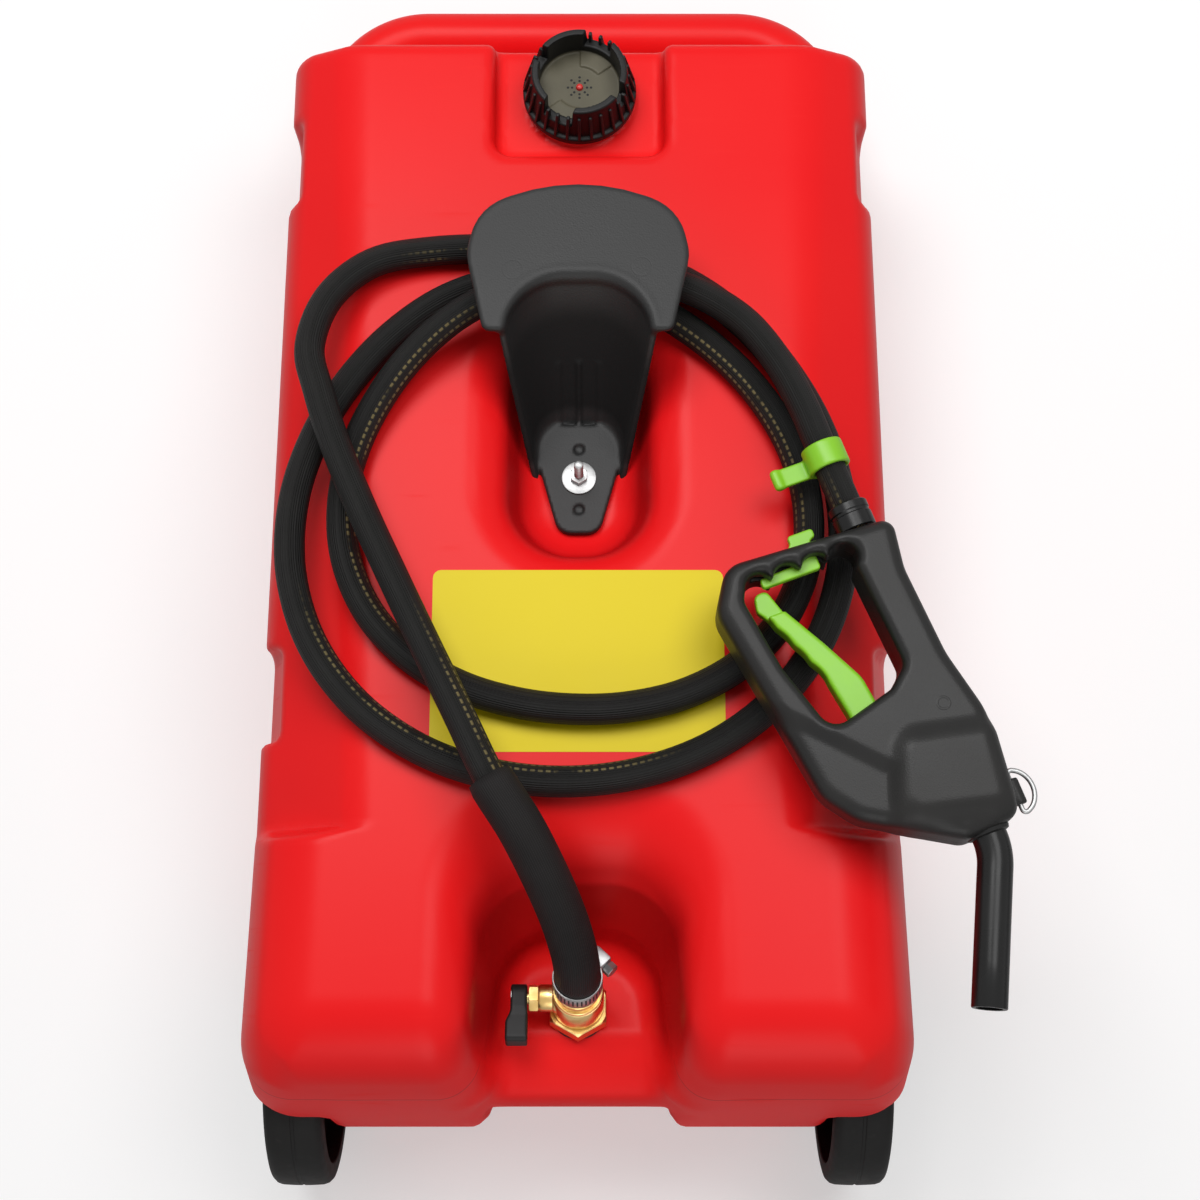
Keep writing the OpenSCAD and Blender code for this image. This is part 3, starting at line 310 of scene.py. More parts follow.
def swept(name, path, radii, sides, finish, bore=None):
    """A tube along a path, with its turn and its length in metres as a UV map; bore opens both ends."""
    tangent, across, rise = path_frames(path)
    radii = np.broadcast_to(radii, len(path))
    angle = round_angles(sides)[None, :, None]
    circle = np.cos(angle) * rise[:, None] + np.sin(angle) * across[:, None]
    rings = path[:, None] + radii[:, None, None] * circle
    vertices = rings.reshape(-1, 3)
    count = len(path)
    faces = [(i * sides + j, i * sides + k, (i + 1) * sides + k, (i + 1) * sides + j)
             for i in range(count - 1) for j, k in zip(range(sides), [*range(1, sides), 0])]
    if bore:
        ends, inwards = path[[0, -1]], np.array([[1], [-1]]) * tangent[[0, -1]]
        inner = ends[:, None] + bore * circle[[0, -1]]
        deep = (ends + inwards * 4 * bore)[:, None] + 0.98 * bore * circle[[0, -1]]
        base = len(vertices)
        vertices = np.concatenate([vertices, inner.reshape(-1, 3), deep.reshape(-1, 3)])
        for end, (ring, flip) in enumerate(((0, False), (count - 1, True))):
            for j in range(sides):
                k = (j + 1) % sides
                rim = [ring * sides + j, base + end * sides + j, base + end * sides + k, ring * sides + k]
                wall = [base + end * sides + j, base + (end + 2) * sides + j, base + (end + 2) * sides + k,
                        base + end * sides + k]
                faces.append(rim[::-1] if flip else rim)
                faces.append(wall[::-1] if flip else wall)
            lid = [base + (end + 2) * sides + j for j in range(sides)]
            faces.append(lid if flip else lid[::-1])
    else:
        faces.append(list(range(sides))[::-1])
        faces.append([(count - 1) * sides + j for j in range(sides)])
    made = new_object(name, vertices, faces, finish)
    length = path_length(path)
    layer = made.data.uv_layers.new(name="along")
    for polygon in made.data.polygons:
        ids = list(polygon.vertices)
        wraps = len(ids) == 4 and max(i % sides for i in ids) - min(i % sides for i in ids) > 1
        for loop, i in zip(polygon.loop_indices, ids):
            j = i % sides
            turned = 1.0 if wraps and j == 0 else j / sides
            layer.data[loop].uv = (turned, length[min(i // sides, count - 1)])
    return made


hose_finish, wire, feed = new_finish("hose_rubber", IOR=1.4, Specular_IOR_Level=0.24)
around = wire.node("SeparateXYZ", Vector=wire.node("UVMap", {"uv_map": "along"}))
lengthwise = around.output(1)
wrap_a, wrap_b = (wire.sum("SINE", (around * 24 + lengthwise * pitch) * full_turn) for pitch in (700, -700))
weave = (wrap_a * wrap_b) * 0.5 + 0.5
grime_and_painted_shade = wire.noise(55, 4)
ridges = wire.sum("SINE", around * (full_turn * 40)) * 0.5 + 0.5
worn = wire.sum("SINE", lengthwise * 11.0).band(-0.1, 0.5)
dash = wire.sum("FRACT", lengthwise * 210).band(0.3, 0.5) * worn * grime_and_painted_shade.band(0.35, 0.5)
tracer = (wire.sum("ABSOLUTE", around - 0.12) - 0.045).near_zero(0.009, 0.019) * dash
rubber = (grime_and_painted_shade * 0.45 + weave * 0.25 + ridges * 0.2).tint(0.003, (0.017, 0.016, 0.015))
feed(Base_Color=tracer.tint(rubber, (0.17, 0.135, 0.06)), Roughness=0.36 + weave * 0.12 + ridges * 0.14,
     Normal=(weave * 0.8 + ridges * 0.7 + grime_and_painted_shade * 0.3).bump(0.7, 0.0006))
hose_path = smooth_path(hose_points, hose_steps)
hose = swept("hose", hose_path, hose_d / 2, 20, hose_finish)
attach(hose, "caddy")
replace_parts(hose, "hose_riser", "hose_coil", "hose_tail")

# The tank: one hollow blow moulding in red polyethylene, with a sloping front panel, bevelled sides, hips
# over the wheels, bays for the cap, the hanger and the valve, and a pull handle moulded in one with its head.
# Every edge is soft, as hot plastic leaves it when it is blown against a cold mould.
tank_end = 353
handle_z, handle_r = 75, 19
cap_y, cap_floor = 318.2, -14
axle_y, axle_z = -311, 80.5


def round_max(a, b, r):
    """Where two solids overlap, with the edge between them rounded."""
    return np.minimum(np.maximum(a, b), -r) + np.hypot(np.maximum(a + r, 0), np.maximum(b + r, 0))


def round_min(a, b, r):
    """Two solids joined, with a fillet between them."""
    return -round_max(-a, -b, r)


def rounded_box(dx, dy, r):
    """Distance in a plane to a rectangle's rounded corner, from the distances past its two sides."""
    dx, dy = dx + r, dy + r
    return np.hypot(np.maximum(dx, 0), np.maximum(dy, 0)) + np.minimum(np.maximum(dx, dy), 0) - r


def carved(name, field, low, high, step, finish, place):
    """The surface where a distance field is zero, in even quads; place takes millimetres to the frame."""
    axes = [np.arange(a, b + step, step) for a, b in zip(low, high)]
    layer = np.zeros((len(axes[0]), len(axes[1])))
    values = np.stack([field(axes[0][:, None], axes[1][None, :], z) + layer for z in axes[2]], -1)
    values = values.astype(np.float32)
    inside = values < 0
    cells = tuple(n - 1 for n in values.shape)
    total = np.zeros(cells, np.int8)
    places = np.zeros((*cells, 3), np.float32)
    crossings = np.zeros(cells, np.int8)
    corners = [(i, j, k) for i in (0, 1) for j in (0, 1) for k in (0, 1)]

    def part(array, c):
        return array[c[0]:c[0] + cells[0], c[1]:c[1] + cells[1], c[2]:c[2] + cells[2]]

    for c in corners:
        total += part(inside, c)
    for axis in range(3):
        for c in corners:
            if c[axis]:
                continue
            d = tuple(v + (n == axis) for n, v in enumerate(c))
            a, b = part(values, c), part(values, d)
            cut = part(inside, c) != part(inside, d)
            share = np.where(cut, a / np.where(cut, a - b, 1), 0)
            crossings += cut
            for n in range(3):
                places[..., n] += np.where(cut, c[n] + (share if n == axis else 0), 0)
    active = (total > 0) & (total < 8)
    index = np.full(cells, -1, np.int64)
    index[active] = np.arange(active.sum())
    where = np.argwhere(active)
    points = (where + places[active] / crossings[active][:, None]) * step + np.array([a[0] for a in axes])
    faces = []
    for axis in range(3):
        u, v = (axis + 1) % 3, (axis + 2) % 3
        lower = [slice(None)] * 3
        upper = [slice(None)] * 3
        lower[axis], upper[axis] = slice(0, -1), slice(1, None)
        change = inside[tuple(lower)].astype(np.int8) - inside[tuple(upper)]
        for sign in (1, -1):
            at = np.argwhere(change == sign)
            at = at[(at[:, u] > 0) & (at[:, v] > 0) & (at[:, u] < cells[u]) & (at[:, v] < cells[v])]
            ring = []
            for du, dv in ((-1, -1), (0, -1), (0, 0), (-1, 0)):
                cell = at.copy()
                cell[:, u] += du
                cell[:, v] += dv
                ring.append(index[cell[:, 0], cell[:, 1], cell[:, 2]])
            quad = np.stack(ring, -1)
            faces.append(quad if sign > 0 else quad[:, ::-1])
    faces = np.concatenate(faces)
    for _ in range(3):
        x, y, z = points.T
        here = field(x, y, z)
        e = 0.2 * step
        slope = np.stack([field(x + e, y, z) - field(x - e, y, z), field(x, y + e, z) - field(x, y - e, z),
                          field(x, y, z + e) - field(x, y, z - e)], -1) / (2 * e)
        move = -here[:, None] * slope / np.maximum((slope ** 2).sum(-1), 0.2)[:, None]
        size = np.linalg.norm(move, axis=1)[:, None]
        points = points + move * np.minimum(1, 0.6 * step / np.maximum(size, 1e-9))
    return new_object(name, place(points), faces, finish)


def tank_field(x, y, z):
    """Distance to the tank's outside, in millimetres."""
    side = np.abs(x)
    along_panel, above_panel = off_panel(y, z)
    panel_z = panel_mid - y * math.tan(tilt)
    t = np.clip((y + 177) / 530, 0, 1)
    wide, front = 200 - 6 * t, 132 + 20 * t
    drop = 50 - 28 * t
    bevel = ((side - front) * drop + (z - panel_z) * (wide - front)) / np.hypot(drop, wide - front)
    hip = 203.5 - 4.5 * np.clip((y + tank_end) / 176, 0, 1)
    hip_bevel = (side - hip + z - panel_z + 28) / math.sqrt(2)
    share = ease((-171 - y) / 11)
    body = round_max(above_panel, bevel + (hip_bevel - bevel) * share, 7 + 9 * share)
    body = round_max(body, side - wide - (hip - wide) * share, 11 + 6 * t + 9 * share)
    body = round_max(body, -z, 24)
    body = round_max(body, y - tank_end, 9)
    slant = ((z - 165) * 46 - (y + tank_end) * 100) / np.hypot(46, 100)
    body = round_max(body, round_max(slant, -tank_end - y, 26), 34)
    loop = rounded_box(side - 171, y - 417, 60)
    bar = round_max(np.hypot(loop, z - handle_z) - handle_r, 338 - y, 3)
    body = round_min(body, bar, 7)
    for middle in (275, -87):
        inner = 201 - 16 * np.clip((z - panel_z + 94) / 48, 0, 1)
        notch = round_max(inner - side, np.abs(y - middle) - 30, 6)
        body = round_max(body, -notch, 4)
    step_in = rounded_box(side - 56, 270.5 - along_panel, 12)
    body = round_max(body, -round_max(step_in, cap_floor - above_panel, 6), 6)
    levels = (-45, -35, -8, 2, 30)
    half = np.interp(above_panel, levels, (33, 37, 48, 54, 58))
    near = np.interp(above_panel, levels, (10, 4, -4, -9, -12))
    far = np.interp(above_panel, levels, (122, 134, 158, 165, 170))
    well = rounded_box(side - half, np.abs(along_panel - (near + far) / 2) - (far - near) / 2, 0.9 * half)
    body = round_max(body, -round_max(well, -45 - above_panel, 15), 18)
    y_valve, z_valve = spun(y - valve_y, z - valve_z, lean)
    levels = (0, 30, 75, 120, 165)
    back = np.interp(z_valve, levels, (42, 44, 53, 72, 86))
    half = np.interp(z_valve, levels, (46, 48, 55, 67, 76))
    half = half + 18 * np.clip((back - y_valve) / (back + 130), 0, 1)
    arch = round_max(rounded_box(side - half, y_valve - back, 36), -z_valve, 16)
    apron_half = 48 + 9 * np.clip((-301.5 - y) / 71.5, 0, 1)
    above_apron = ((y + 301.5) * -24 + (z - 171.5) * 71.5) / np.hypot(24, 71.5)
    apron = round_max(round_max(-above_apron, side - apron_half, 12), y + 296, 8)
    body = round_max(body, -round_min(arch, apron, 12), 26)
    body = round_max(body, -round_max(round_max(side - 60, y + 339, 8), z - 175, 4), 9)
    tyre_room = round_max(np.hypot(y - axle_y, z - axle_z) - 88, 156 - side, 6)
    body = round_max(body, -tyre_room, 7)
    neck = np.hypot(x, along_panel - cap_y)
    body = np.minimum(body, round_max(round_max(neck - 33.5, above_panel + 10, 1.5), -20 - above_panel, 1))
    return np.maximum(body, -np.maximum(neck - 26, -46 - above_panel))


tank_finish, wire, feed = new_finish("tank_red", IOR=1.24)
place = wire.here()
peel = wire.noise(900)
cloud = wire.noise(7, 3)
drawn_out = wire.node("Mapping", Vector=place, Scale=(18, 260, 18))
scuffed = wire.node("TexNoise", Vector=drawn_out, Scale=1.0, Detail=5.0).band(0.62, 0.78)
axes = wire.node("SeparateXYZ", Vector=place)
at_foot = 1 - axes.output(1).band(-0.318, -0.306)
seam = (axes.output(2) + cloud * 0.012 - 0.214).near_zero(0.0003, 0.001) * at_foot
# Painted shade: the steep walls deep in the bays are painted a darker red, standing in for the shade in those
# recesses; the same dark red also marks the mould seam.
grime_and_painted_shade = wire.node("Attribute", {"attribute_name": "shelter"}, 2)
fresh = (cloud * 0.7 + scuffed * 0.12).tint((0.85, 0.006, 0.011), (0.92, 0.021, 0.016))
feed(Base_Color=(grime_and_painted_shade * 0.7 + seam * 0.4).tint(fresh, (0.3, 0.002, 0.004)),
     Roughness=0.28 + cloud * 0.1 + scuffed * 0.12 + at_foot * 0.14,
     Normal=(peel * 0.5 + scuffed * 0.15 + seam * 1.6).bump(0.12, 0.0006))
tank = carved("tank_moulding", tank_field, (-212, -360, -6), (212, 442, 272), 3.4,
              tank_finish, lambda p: p / 1000)


def corners(made):
    """A piece's points in the frame, in millimetres."""
    return np.array([v.co for v in made.data.vertices]) * 1000


def store(made, name, values):
    """Keeps a value at each point of a piece, for its finish to read."""
    made.data.attributes.new(name, "FLOAT", "POINT").data.foreach_set("value", values.astype(np.float32))


# Painted shade: a value for the steep walls deep in the bays, which darkens the tank's red there as if
# shaded.
co = corners(tank)
steep = 1 - np.clip(np.array([v.normal for v in tank.data.vertices]) @ panel_up, 0, 1)
depth = -off_panel(co[:, 1], co[:, 2])[1]
in_bay = ease((112 - np.abs(co[:, 0])) / 20) * ease((co[:, 1] + 318) / 30) * ease((345 - co[:, 1]) / 10)
store(tank, "shelter", in_bay * ease((depth - 5) / 14) * ease(steep / 0.7))
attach(tank, "caddy")
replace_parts(tank, "tank")

# The label: a plain yellow film with rounded corners, stuck flat on the panel below the hanger.
# It is bare, with the faint waves of film laid by hand.


def plain_finish(name, scale, detail, dark, light, rough=None, grain=None, bump=None, **values):
    """A finish whose tone and gloss drift with one soft noise; its bump is that noise or a finer grain."""
    finish, wire, feed = new_finish(name, **values)
    cloud = wire.noise(scale, detail)
    feed(Base_Color=cloud.tint(dark, light))
    if rough:
        feed(Roughness=rough[0] + cloud * rough[1])
    if bump:
        height = grain[0](wire, grain[1]) if grain else cloud
        feed(Normal=height.bump(*bump))
    return finish


def dress(finish, *nodes):
    """Gives solids that keep their shape a better finish."""
    for node in nodes:
        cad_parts[node].data.materials.clear()
        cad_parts[node].data.materials.append(finish)


label_finish = plain_finish("label_film", 9, 3, (0.74, 0.57, 0.002), (0.82, 0.65, 0.004), (0.34, 0.14),
                            (Wire.noise, 26), (0.2, 0.002), IOR=1.35, Specular_IOR_Level=0.35)
dress(label_finish, "label")

# The filler cap: a deep castellated cup in black plastic with ribs round its skirt and a vented disc inside.
# Its plug screws into the neck on a flat gasket, and a red button in its middle lets air in.


def on_cap(points):
    """Millimetres in the cap's own frame, from the floor of its bay, as metres in the frame."""
    return on_panel(np.asarray(points, float) + (0, cap_y, cap_floor))


def tidy(made, sharp=35):
    """Merges doubles, turns the faces outwards and keeps edges past an angle crisp."""
    work = bmesh.new()
    work.from_mesh(made.data)
    bmesh.ops.remove_doubles(work, verts=work.verts, dist=1e-6)
    bmesh.ops.dissolve_degenerate(work, dist=1e-7, edges=work.edges)
    bmesh.ops.recalc_face_normals(work, faces=work.faces)
    work.to_mesh(made.data)
    work.free()
    made.data.shade_smooth()
    made.data.set_sharp_from_angle(angle=math.radians(sharp))
    return made


def skinned(name, lines, finish, place, sharp, open_ended=False):
    """Quads over lines of points that stand round an axis; each line closes on itself unless it is open."""
    sides, n = lines.shape[:2]
    faces = [(k * n + i, k * n + (i + 1) % n, (k + 1) % sides * n + (i + 1) % n, (k + 1) % sides * n + i)
             for k in range(sides) for i in range(n - 1 if open_ended else n)]
    return tidy(new_object(name, place(lines.reshape(-1, 3)), faces, finish), sharp)


def turned(name, profile, finish, place, sides=64, sharp=35):
    """A round piece from its profile in millimetres, radius and height; it closes on itself or the axis."""
    angle = round_angles(sides)
    r, z = np.asarray(profile, float).T
    lines = np.stack([np.outer(np.cos(angle), r), np.outer(np.sin(angle), r), np.tile(z, (sides, 1))], -1)
    return skinned(name, lines, finish, place, sharp, r[0] < 1e-6 and r[-1] < 1e-6)


black_finish = plain_finish("moulded_black", 24, 3, 0.007, 0.016, (0.36, 0.18), (Wire.noise, 1500),
                            (0.14, 0.0005), IOR=1.4, Specular_IOR_Level=0.3)


def cap_field(x, y, z):
    """Distance to the cap without its ribs, in millimetres."""
    r = np.hypot(x, y)
    turn = np.degrees(np.arctan2(y, x))
    flange = round_max(r - 37.4, np.abs(z - 9) - 3, 1.4)
    taper = 34.6 - 3.6 * np.clip((z - 12) / 24, 0, 1)
    wall = round_max(round_max(r - taper, z - 36, 1.2), 10 - z, 1)
    for middle, width in ((63, 20), (152, 11), (243, 20), (332, 11)):
        off = (turn - middle + 180) % 360 - 180
        across = np.abs(r * np.sin(np.radians(off)))
        gap = round_max(across - width / 2, np.abs(off) - 80, 1)
        wall = round_max(wall, -round_max(gap, 22 - z, 1), 0.8)
    cup = round_max(r - 26.8, 15 - z, 1.2)
    body = np.maximum(round_min(flange, wall, 0.8), -cup)
    plug = round_max(r - 25.8, np.abs(z + 2) - 12, 0.8)
    body = np.minimum(body, plug)
    body = np.maximum(body, -np.maximum(r - 20.8, z - 6))
    ledge = round_max(np.abs(r - 21) - 5.8, np.abs(z - 15) - 1.2, 0.5)
    sector = np.abs((turn - 63 + 90) % 180 - 90) - 26
    return np.minimum(body, np.maximum(ledge, sector))


cap_finish, wire, feed = new_finish("cap_black", IOR=1.4, Specular_IOR_Level=0.3)
grain = wire.noise(1500)
cloud = wire.noise(40, 3)
worn = cloud.tint((0.07, 0.063, 0.042), (0.14, 0.127, 0.085))
feed(Base_Color=wire.node("Attribute", {"attribute_name": "disc"}, 2).tint(0.006, worn),
     Roughness=0.34 + cloud * 0.18, Normal=grain.bump(0.14, 0.0005))
cap = carved("cap_cup", cap_field, (-39, -39, -16), (39, 39, 38), 0.85,
             cap_finish, on_cap)
co = corners(cap)
cap_along, cap_above = off_panel(co[:, 1], co[:, 2])
cap_r, cap_z = np.hypot(co[:, 0], cap_along - cap_y), cap_above - cap_floor
store(cap, "disc", ease((27.6 - cap_r) / 1.2) * ease(17.2 - cap_z) * ease(cap_z - 13))
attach(cap, "cap")
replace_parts(cap, "cap")


def ring_tree():
    """A tree that repeats a piece round its own z axis, with the inputs Count and Finish."""
    tree = bpy.data.node_groups.new("ring_of_pieces", "GeometryNodeTree")
    for name, kind in (("Geometry", "Geometry"), ("Count", "Int"), ("Finish", "Material")):
        tree.interface.new_socket(name, in_out="INPUT", socket_type="NodeSocket" + kind)
    tree.interface.new_socket("Geometry", in_out="OUTPUT", socket_type="NodeSocketGeometry")
    new = tree.nodes.new
    link = tree.links.new
    start, end = new("NodeGroupInput"), new("NodeGroupOutput")
    points, index = new("GeometryNodePoints"), new("GeometryNodeInputIndex")
    link(start.outputs["Count"], points.inputs["Count"])
    share, angle, turn = new("ShaderNodeMath"), new("ShaderNodeMath"), new("ShaderNodeCombineXYZ")
    share.operation, angle.operation = "DIVIDE", "MULTIPLY"
    link(index.outputs[0], share.inputs[0])
    link(start.outputs["Count"], share.inputs[1])
    link(share.outputs[0], angle.inputs[0])
    angle.inputs[1].default_value = full_turn
    link(angle.outputs[0], turn.inputs[2])
    spread, real = new("GeometryNodeInstanceOnPoints"), new("GeometryNodeRealizeInstances")
    paint = new("GeometryNodeSetMaterial")
    link(points.outputs[0], spread.inputs["Points"])
    link(start.outputs["Geometry"], spread.inputs["Instance"])
    link(turn.outputs[0], spread.inputs["Rotation"])
    link(spread.outputs[0], real.inputs[0])
    link(real.outputs[0], paint.inputs["Geometry"])
    link(start.outputs["Finish"], paint.inputs["Material"])
    link(paint.outputs[0], end.inputs[0])
    return tree


ring_of_pieces = ring_tree()


def moved(made, place):
    """Takes a piece modelled in millimetres to its place in the frame."""
    co = np.array([v.co for v in made.data.vertices])
    made.data.vertices.foreach_set("co", place(co).astype(np.float32).ravel())
    made.data.update()
    return made


def repeated(made, count, finish, place):
    """Repeats a piece modelled in millimetres about its z axis, then sets the ring in its place."""
    modifier = made.modifiers.new("ring", "NODES")
    modifier.node_group = ring_of_pieces
    inputs = [item for item in ring_of_pieces.interface.items_tree if item.in_out == "INPUT"]
    for item, value in zip(inputs[1:], (count, finish)):
        modifier[item.identifier] = value
    bpy.context.view_layer.update()
    done = bpy.data.meshes.new_from_object(made.evaluated_get(bpy.context.evaluated_depsgraph_get()))
    made.modifiers.clear()
    made.data = done
    return moved(made, place)


def block(name, low, high, bevel, segments=2):
    """A box in millimetres with rounded edges."""
    work = bmesh.new()
    bmesh.ops.create_cube(work, size=1)
    low, high = np.asarray(low, float), np.asarray(high, float)
    for v in work.verts:
        v.co = Vector(low + (np.array(v.co) + 0.5) * (high - low))
    bmesh.ops.bevel(work, geom=work.edges[:], offset=bevel, segments=segments, profile=0.5, affect="EDGES")
    made = new_object(name, [v.co for v in work.verts], [[v.index for v in f.verts] for f in work.faces])
    work.free()
    return made


rib = block("cap_ribs", (30.4, -1.0, 11.0), (37.4, 1.0, 30.5), 0.5)
for v in rib.data.vertices:
    if v.co.z > 20 and v.co.x > 34:
        v.co.x -= 4.2
cap_ribs = repeated(rib, 28, black_finish, on_cap)
cap_ribs.data.shade_smooth()
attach(cap_ribs, "cap")

# The vent: a red button in a hole in the cap's disc, with a ring of small holes round it.
# It lifts a little when the tank draws air.
red_finish = plain_finish("vent_red", 400, 3, (0.55, 0.02, 0.02), (0.75, 0.04, 0.03), (0.3, 0.15),
                          Specular_IOR_Level=0.5)
button = [(0, 17.4), (1.2, 17.2), (2, 16.6), (2.3, 15.6), (2.5, 15), (2.5, 7.6), (0, 7.6)]
vent = turned("vent_button", button, red_finish, on_cap, 40)
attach(vent, "vent")
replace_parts(vent, "cap_vent")
# Painted shade: the small vent holes are flat discs painted almost black on the cap's disc, standing in for
# the shade inside open holes.
hole_shade_finish = plain_finish("painted_hole_shade", 300, 2, 0.002, 0.006, Roughness=0.8)
hole_turn, hole_r, hole_z = round_angles(12), 0.85, 15.06
vent_holes = new_object("vent_holes", [
    (r + hole_r * math.cos(a), hole_r * math.sin(a), hole_z) for r in (4.9, 7.6) for a in hole_turn],
    [range(12), range(12, 24)], hole_shade_finish)
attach(repeated(vent_holes, 8, hole_shade_finish, on_cap), "cap")
rubber_finish = plain_finish("seal_black", 260, 3, 0.012, 0.026, (0.55, 0.2), bump=(0.1, 0.0004),
                             Specular_IOR_Level=0.3)
dress(rubber_finish, "cap_gasket", "outlet_gasket", "spout_seal")

# The hose hanger: one black moulding, a scoop that stands in its bay with a wide face plate over its mouth.
# Its tongue is bolted down by a stud, a washer and a nut; the hose hangs round the scoop behind the plate.


def rounded_outline(points, radii, steps):
    """A closed outline with each corner turned to its own radius."""
    p = np.asarray(points, float)
    line = []
    for before, corner, after, r in zip(np.roll(p, 1, 0), p, np.roll(p, -1, 0), radii):
        u, v = before - corner, after - corner
        u, v = u / np.linalg.norm(u), v / np.linalg.norm(v)
        half = math.acos(float(np.clip(u @ v, -1, 1))) / 2
        reach, weight = r / math.tan(half), math.sin(half)
        for t in np.linspace(0, 1, steps + 1):
            a, b, c = (1 - t) ** 2, 2 * t * (1 - t) * weight, t * t
            line.append((a * (corner + u * reach) + b * corner + c * (corner + v * reach)) / (a + b + c))
    return np.array(line)


def outline_distance(points, radii, steps=6):
    """Distance in a plane to an outline with rounded corners, negative inside it."""
    points = rounded_outline(points, radii, steps)
    ends = np.roll(points, -1, 0)

    def distance(x, y):
        x, y = np.broadcast_arrays(x, y)
        best = np.full(x.shape, 1e18)
        inside = np.zeros(x.shape, bool)
        for (ax, ay), (bx, by) in zip(points, ends):
            ex, ey = bx - ax, by - ay
            t = np.clip(((x - ax) * ex + (y - ay) * ey) / (ex * ex + ey * ey + 1e-12), 0, 1)
            best = np.minimum(best, (x - ax - ex * t) ** 2 + (y - ay - ey * t) ** 2)
            if ay != by:
                inside ^= ((ay > y) != (by > y)) & (x < ex * (y - ay) / (by - ay) + ax)
        return np.where(inside, -1, 1) * np.sqrt(best)

    return distance


plate_outline = outline_distance(
    [[58, 121], [69, 172], [62, 204], [0, 228], [-62, 204], [-69, 172], [-58, 121]],
    [6, 40, 34, 115, 34, 40, 6])
tongue_outline = outline_distance(
    [[28, 76], [28, 96], [-28, 96], [-28, 76], [-13, 22], [13, 22]], [8, 6, 6, 8, 11, 11])


def hanger_field(x, y, h):
    """Distance to the hanger in the panel's frame, in millimetres."""
    t = np.clip((h + 45) / 95, -0.1, 1.1)
    half, top, mouth = 30 + 19 * t, 100 + 60 * t, 58 + 64 * t
    side = np.abs(x)
    middle = rounded_box(side - half + 2, y - top + 2, 0.8 * half)
    scoop = round_max(round_max(np.abs(middle) - 2, mouth - y, 1.6), np.abs(h - 4) - 49, 1)
    for rib_x in (-13, 0, 13):
        rib = np.hypot(x - rib_x, (y - top + 4.2) * 0.9) - 1.7
        scoop = round_min(scoop, round_max(rib, np.abs(h + 21) - 21, 1), 1.2)
    plate = round_max(plate_outline(x, y), np.abs(h - 52.4) - 2.8, 2.5)
    lip = round_max(np.abs(plate_outline(x, y) + 2.2) - 2.0, np.abs(h - 49.5) - 3.4, 1.2)
    plate = round_min(plate, round_max(lip, 170 - y, 1), 1.5)
    plate = round_max(plate, -(middle + 2), 2.2)
    tongue = round_max(tongue_outline(x, y), np.abs(h + 42) - 3, 1.2)
    for dimple in (38, 79):
        tongue = round_max(tongue, -np.maximum(np.hypot(x, y - dimple) - 3.2, -41 - h), 0.8)
    return round_min(round_min(plate, scoop, 3.5), tongue, 3)


hanger_finish, wire, feed = new_finish("hanger_black", Specular_IOR_Level=0.28)
grain = wire.cells(950)
cloud = wire.noise(18, 4)
marks = 0.0
for mark_x, mark_y in ((-40, 161), (39, 163)):
    marks = wire.ring(on_panel([mark_x, mark_y, 55]), 0.0062, 0.0002, 0.0006) + marks
# Painted shade: the scoop below the face plate is painted near black, standing in for the shade under the
# plate.
shade = wire.node("Attribute", {"attribute_name": "shelter"}, 2)
face = cloud.tint(0.012, 0.026)
feed(Base_Color=shade.tint(face, 0.001), Roughness=0.4 + cloud * 0.16 + shade * 0.35,
     Normal=(grain - marks * 0.8).bump(0.2, 0.0004))
hanger = carved("hanger_moulding", hanger_field, (-76, 17, -48), (76, 229, 58), 1.6,
                hanger_finish, on_panel)
# Painted shade: a value for the scoop below the face plate, where the plate shades it.
co = corners(hanger)
rise = off_panel(co[:, 1], co[:, 2])[1]
store(hanger, "shelter", ease((45 - rise) / 22) * ease((rise + 37) / 9))
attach(hanger, "caddy")
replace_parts(hanger, "hanger")

# The hanger's fixing: a zinc-plated stud set in the tank, with a plain washer and a hex nut.
# The stud's thread is turned as plain grooves, and the washer spreads the nut's load over the tongue.
zinc_finish = plain_finish("zinc_plate", 160, 4, (0.26, 0.26, 0.27), (0.48, 0.48, 0.47), (0.32, 0.2),
                           (Wire.cells, 420), (0.12, 0.0003), Metallic=1.0)


def on_stud(points):
    """Millimetres with z up along the stud from the top of the tongue, as metres in the frame."""
    return on_panel(np.asarray(points, float) + (0, 59, -39))


stud_profile = [(0, -20), (2.9, -20), (2.9, 6.8)]
for k in range(18):
    stud_profile += [(2.95, 7 + k), (2.5, 7.5 + k)]
stud_profile += [(2.9, 25), (2.4, 25.6), (0, 25.6)]
stud = turned("hanger_stud_thread", stud_profile, zinc_finish, on_stud, 32, 60)
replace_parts(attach(stud, "caddy"), "hanger_stud")
washer_profile = [(3.05, 0), (10.8, 0), (11, 0.2), (11, 1.4), (10.6, 1.6), (3.4, 1.6), (3.05, 1.3)]
washer = turned("hanger_washer_plate", washer_profile, zinc_finish, on_stud)
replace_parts(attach(washer, "caddy"), "hanger_washer")


def hex_nut(name, flats, bore, low, high, finish, place):
    """A hexagon bar with both ends chamfered round, bored through."""
    angle = round_angles(96)
    reach = flats / 2 / np.cos((angle + math.pi / 6) % (math.pi / 3) - math.pi / 6)
    chamfer_r = flats / 2 * 1.08
    drop = np.maximum(reach - chamfer_r, 0) * 0.6 + 0.02 * flats
    end = np.minimum(reach, chamfer_r) * 0.97
    flat = 0 * angle
    profile = [(bore + flat, low + flat), (end, low + flat), (reach, low + drop),
               (reach, high - drop), (end, high + flat), (bore + flat, high + flat)]
    lines = np.stack([np.stack([r * np.cos(angle), r * np.sin(angle), z], -1) for r, z in profile], 1)
    return skinned(name, lines, finish, place, 25)


nut = hex_nut("hanger_nut_hex", 10.3, 3.05, 1.6, 6.6, zinc_finish, on_stud)
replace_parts(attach(nut, "caddy"), "hanger_nut")

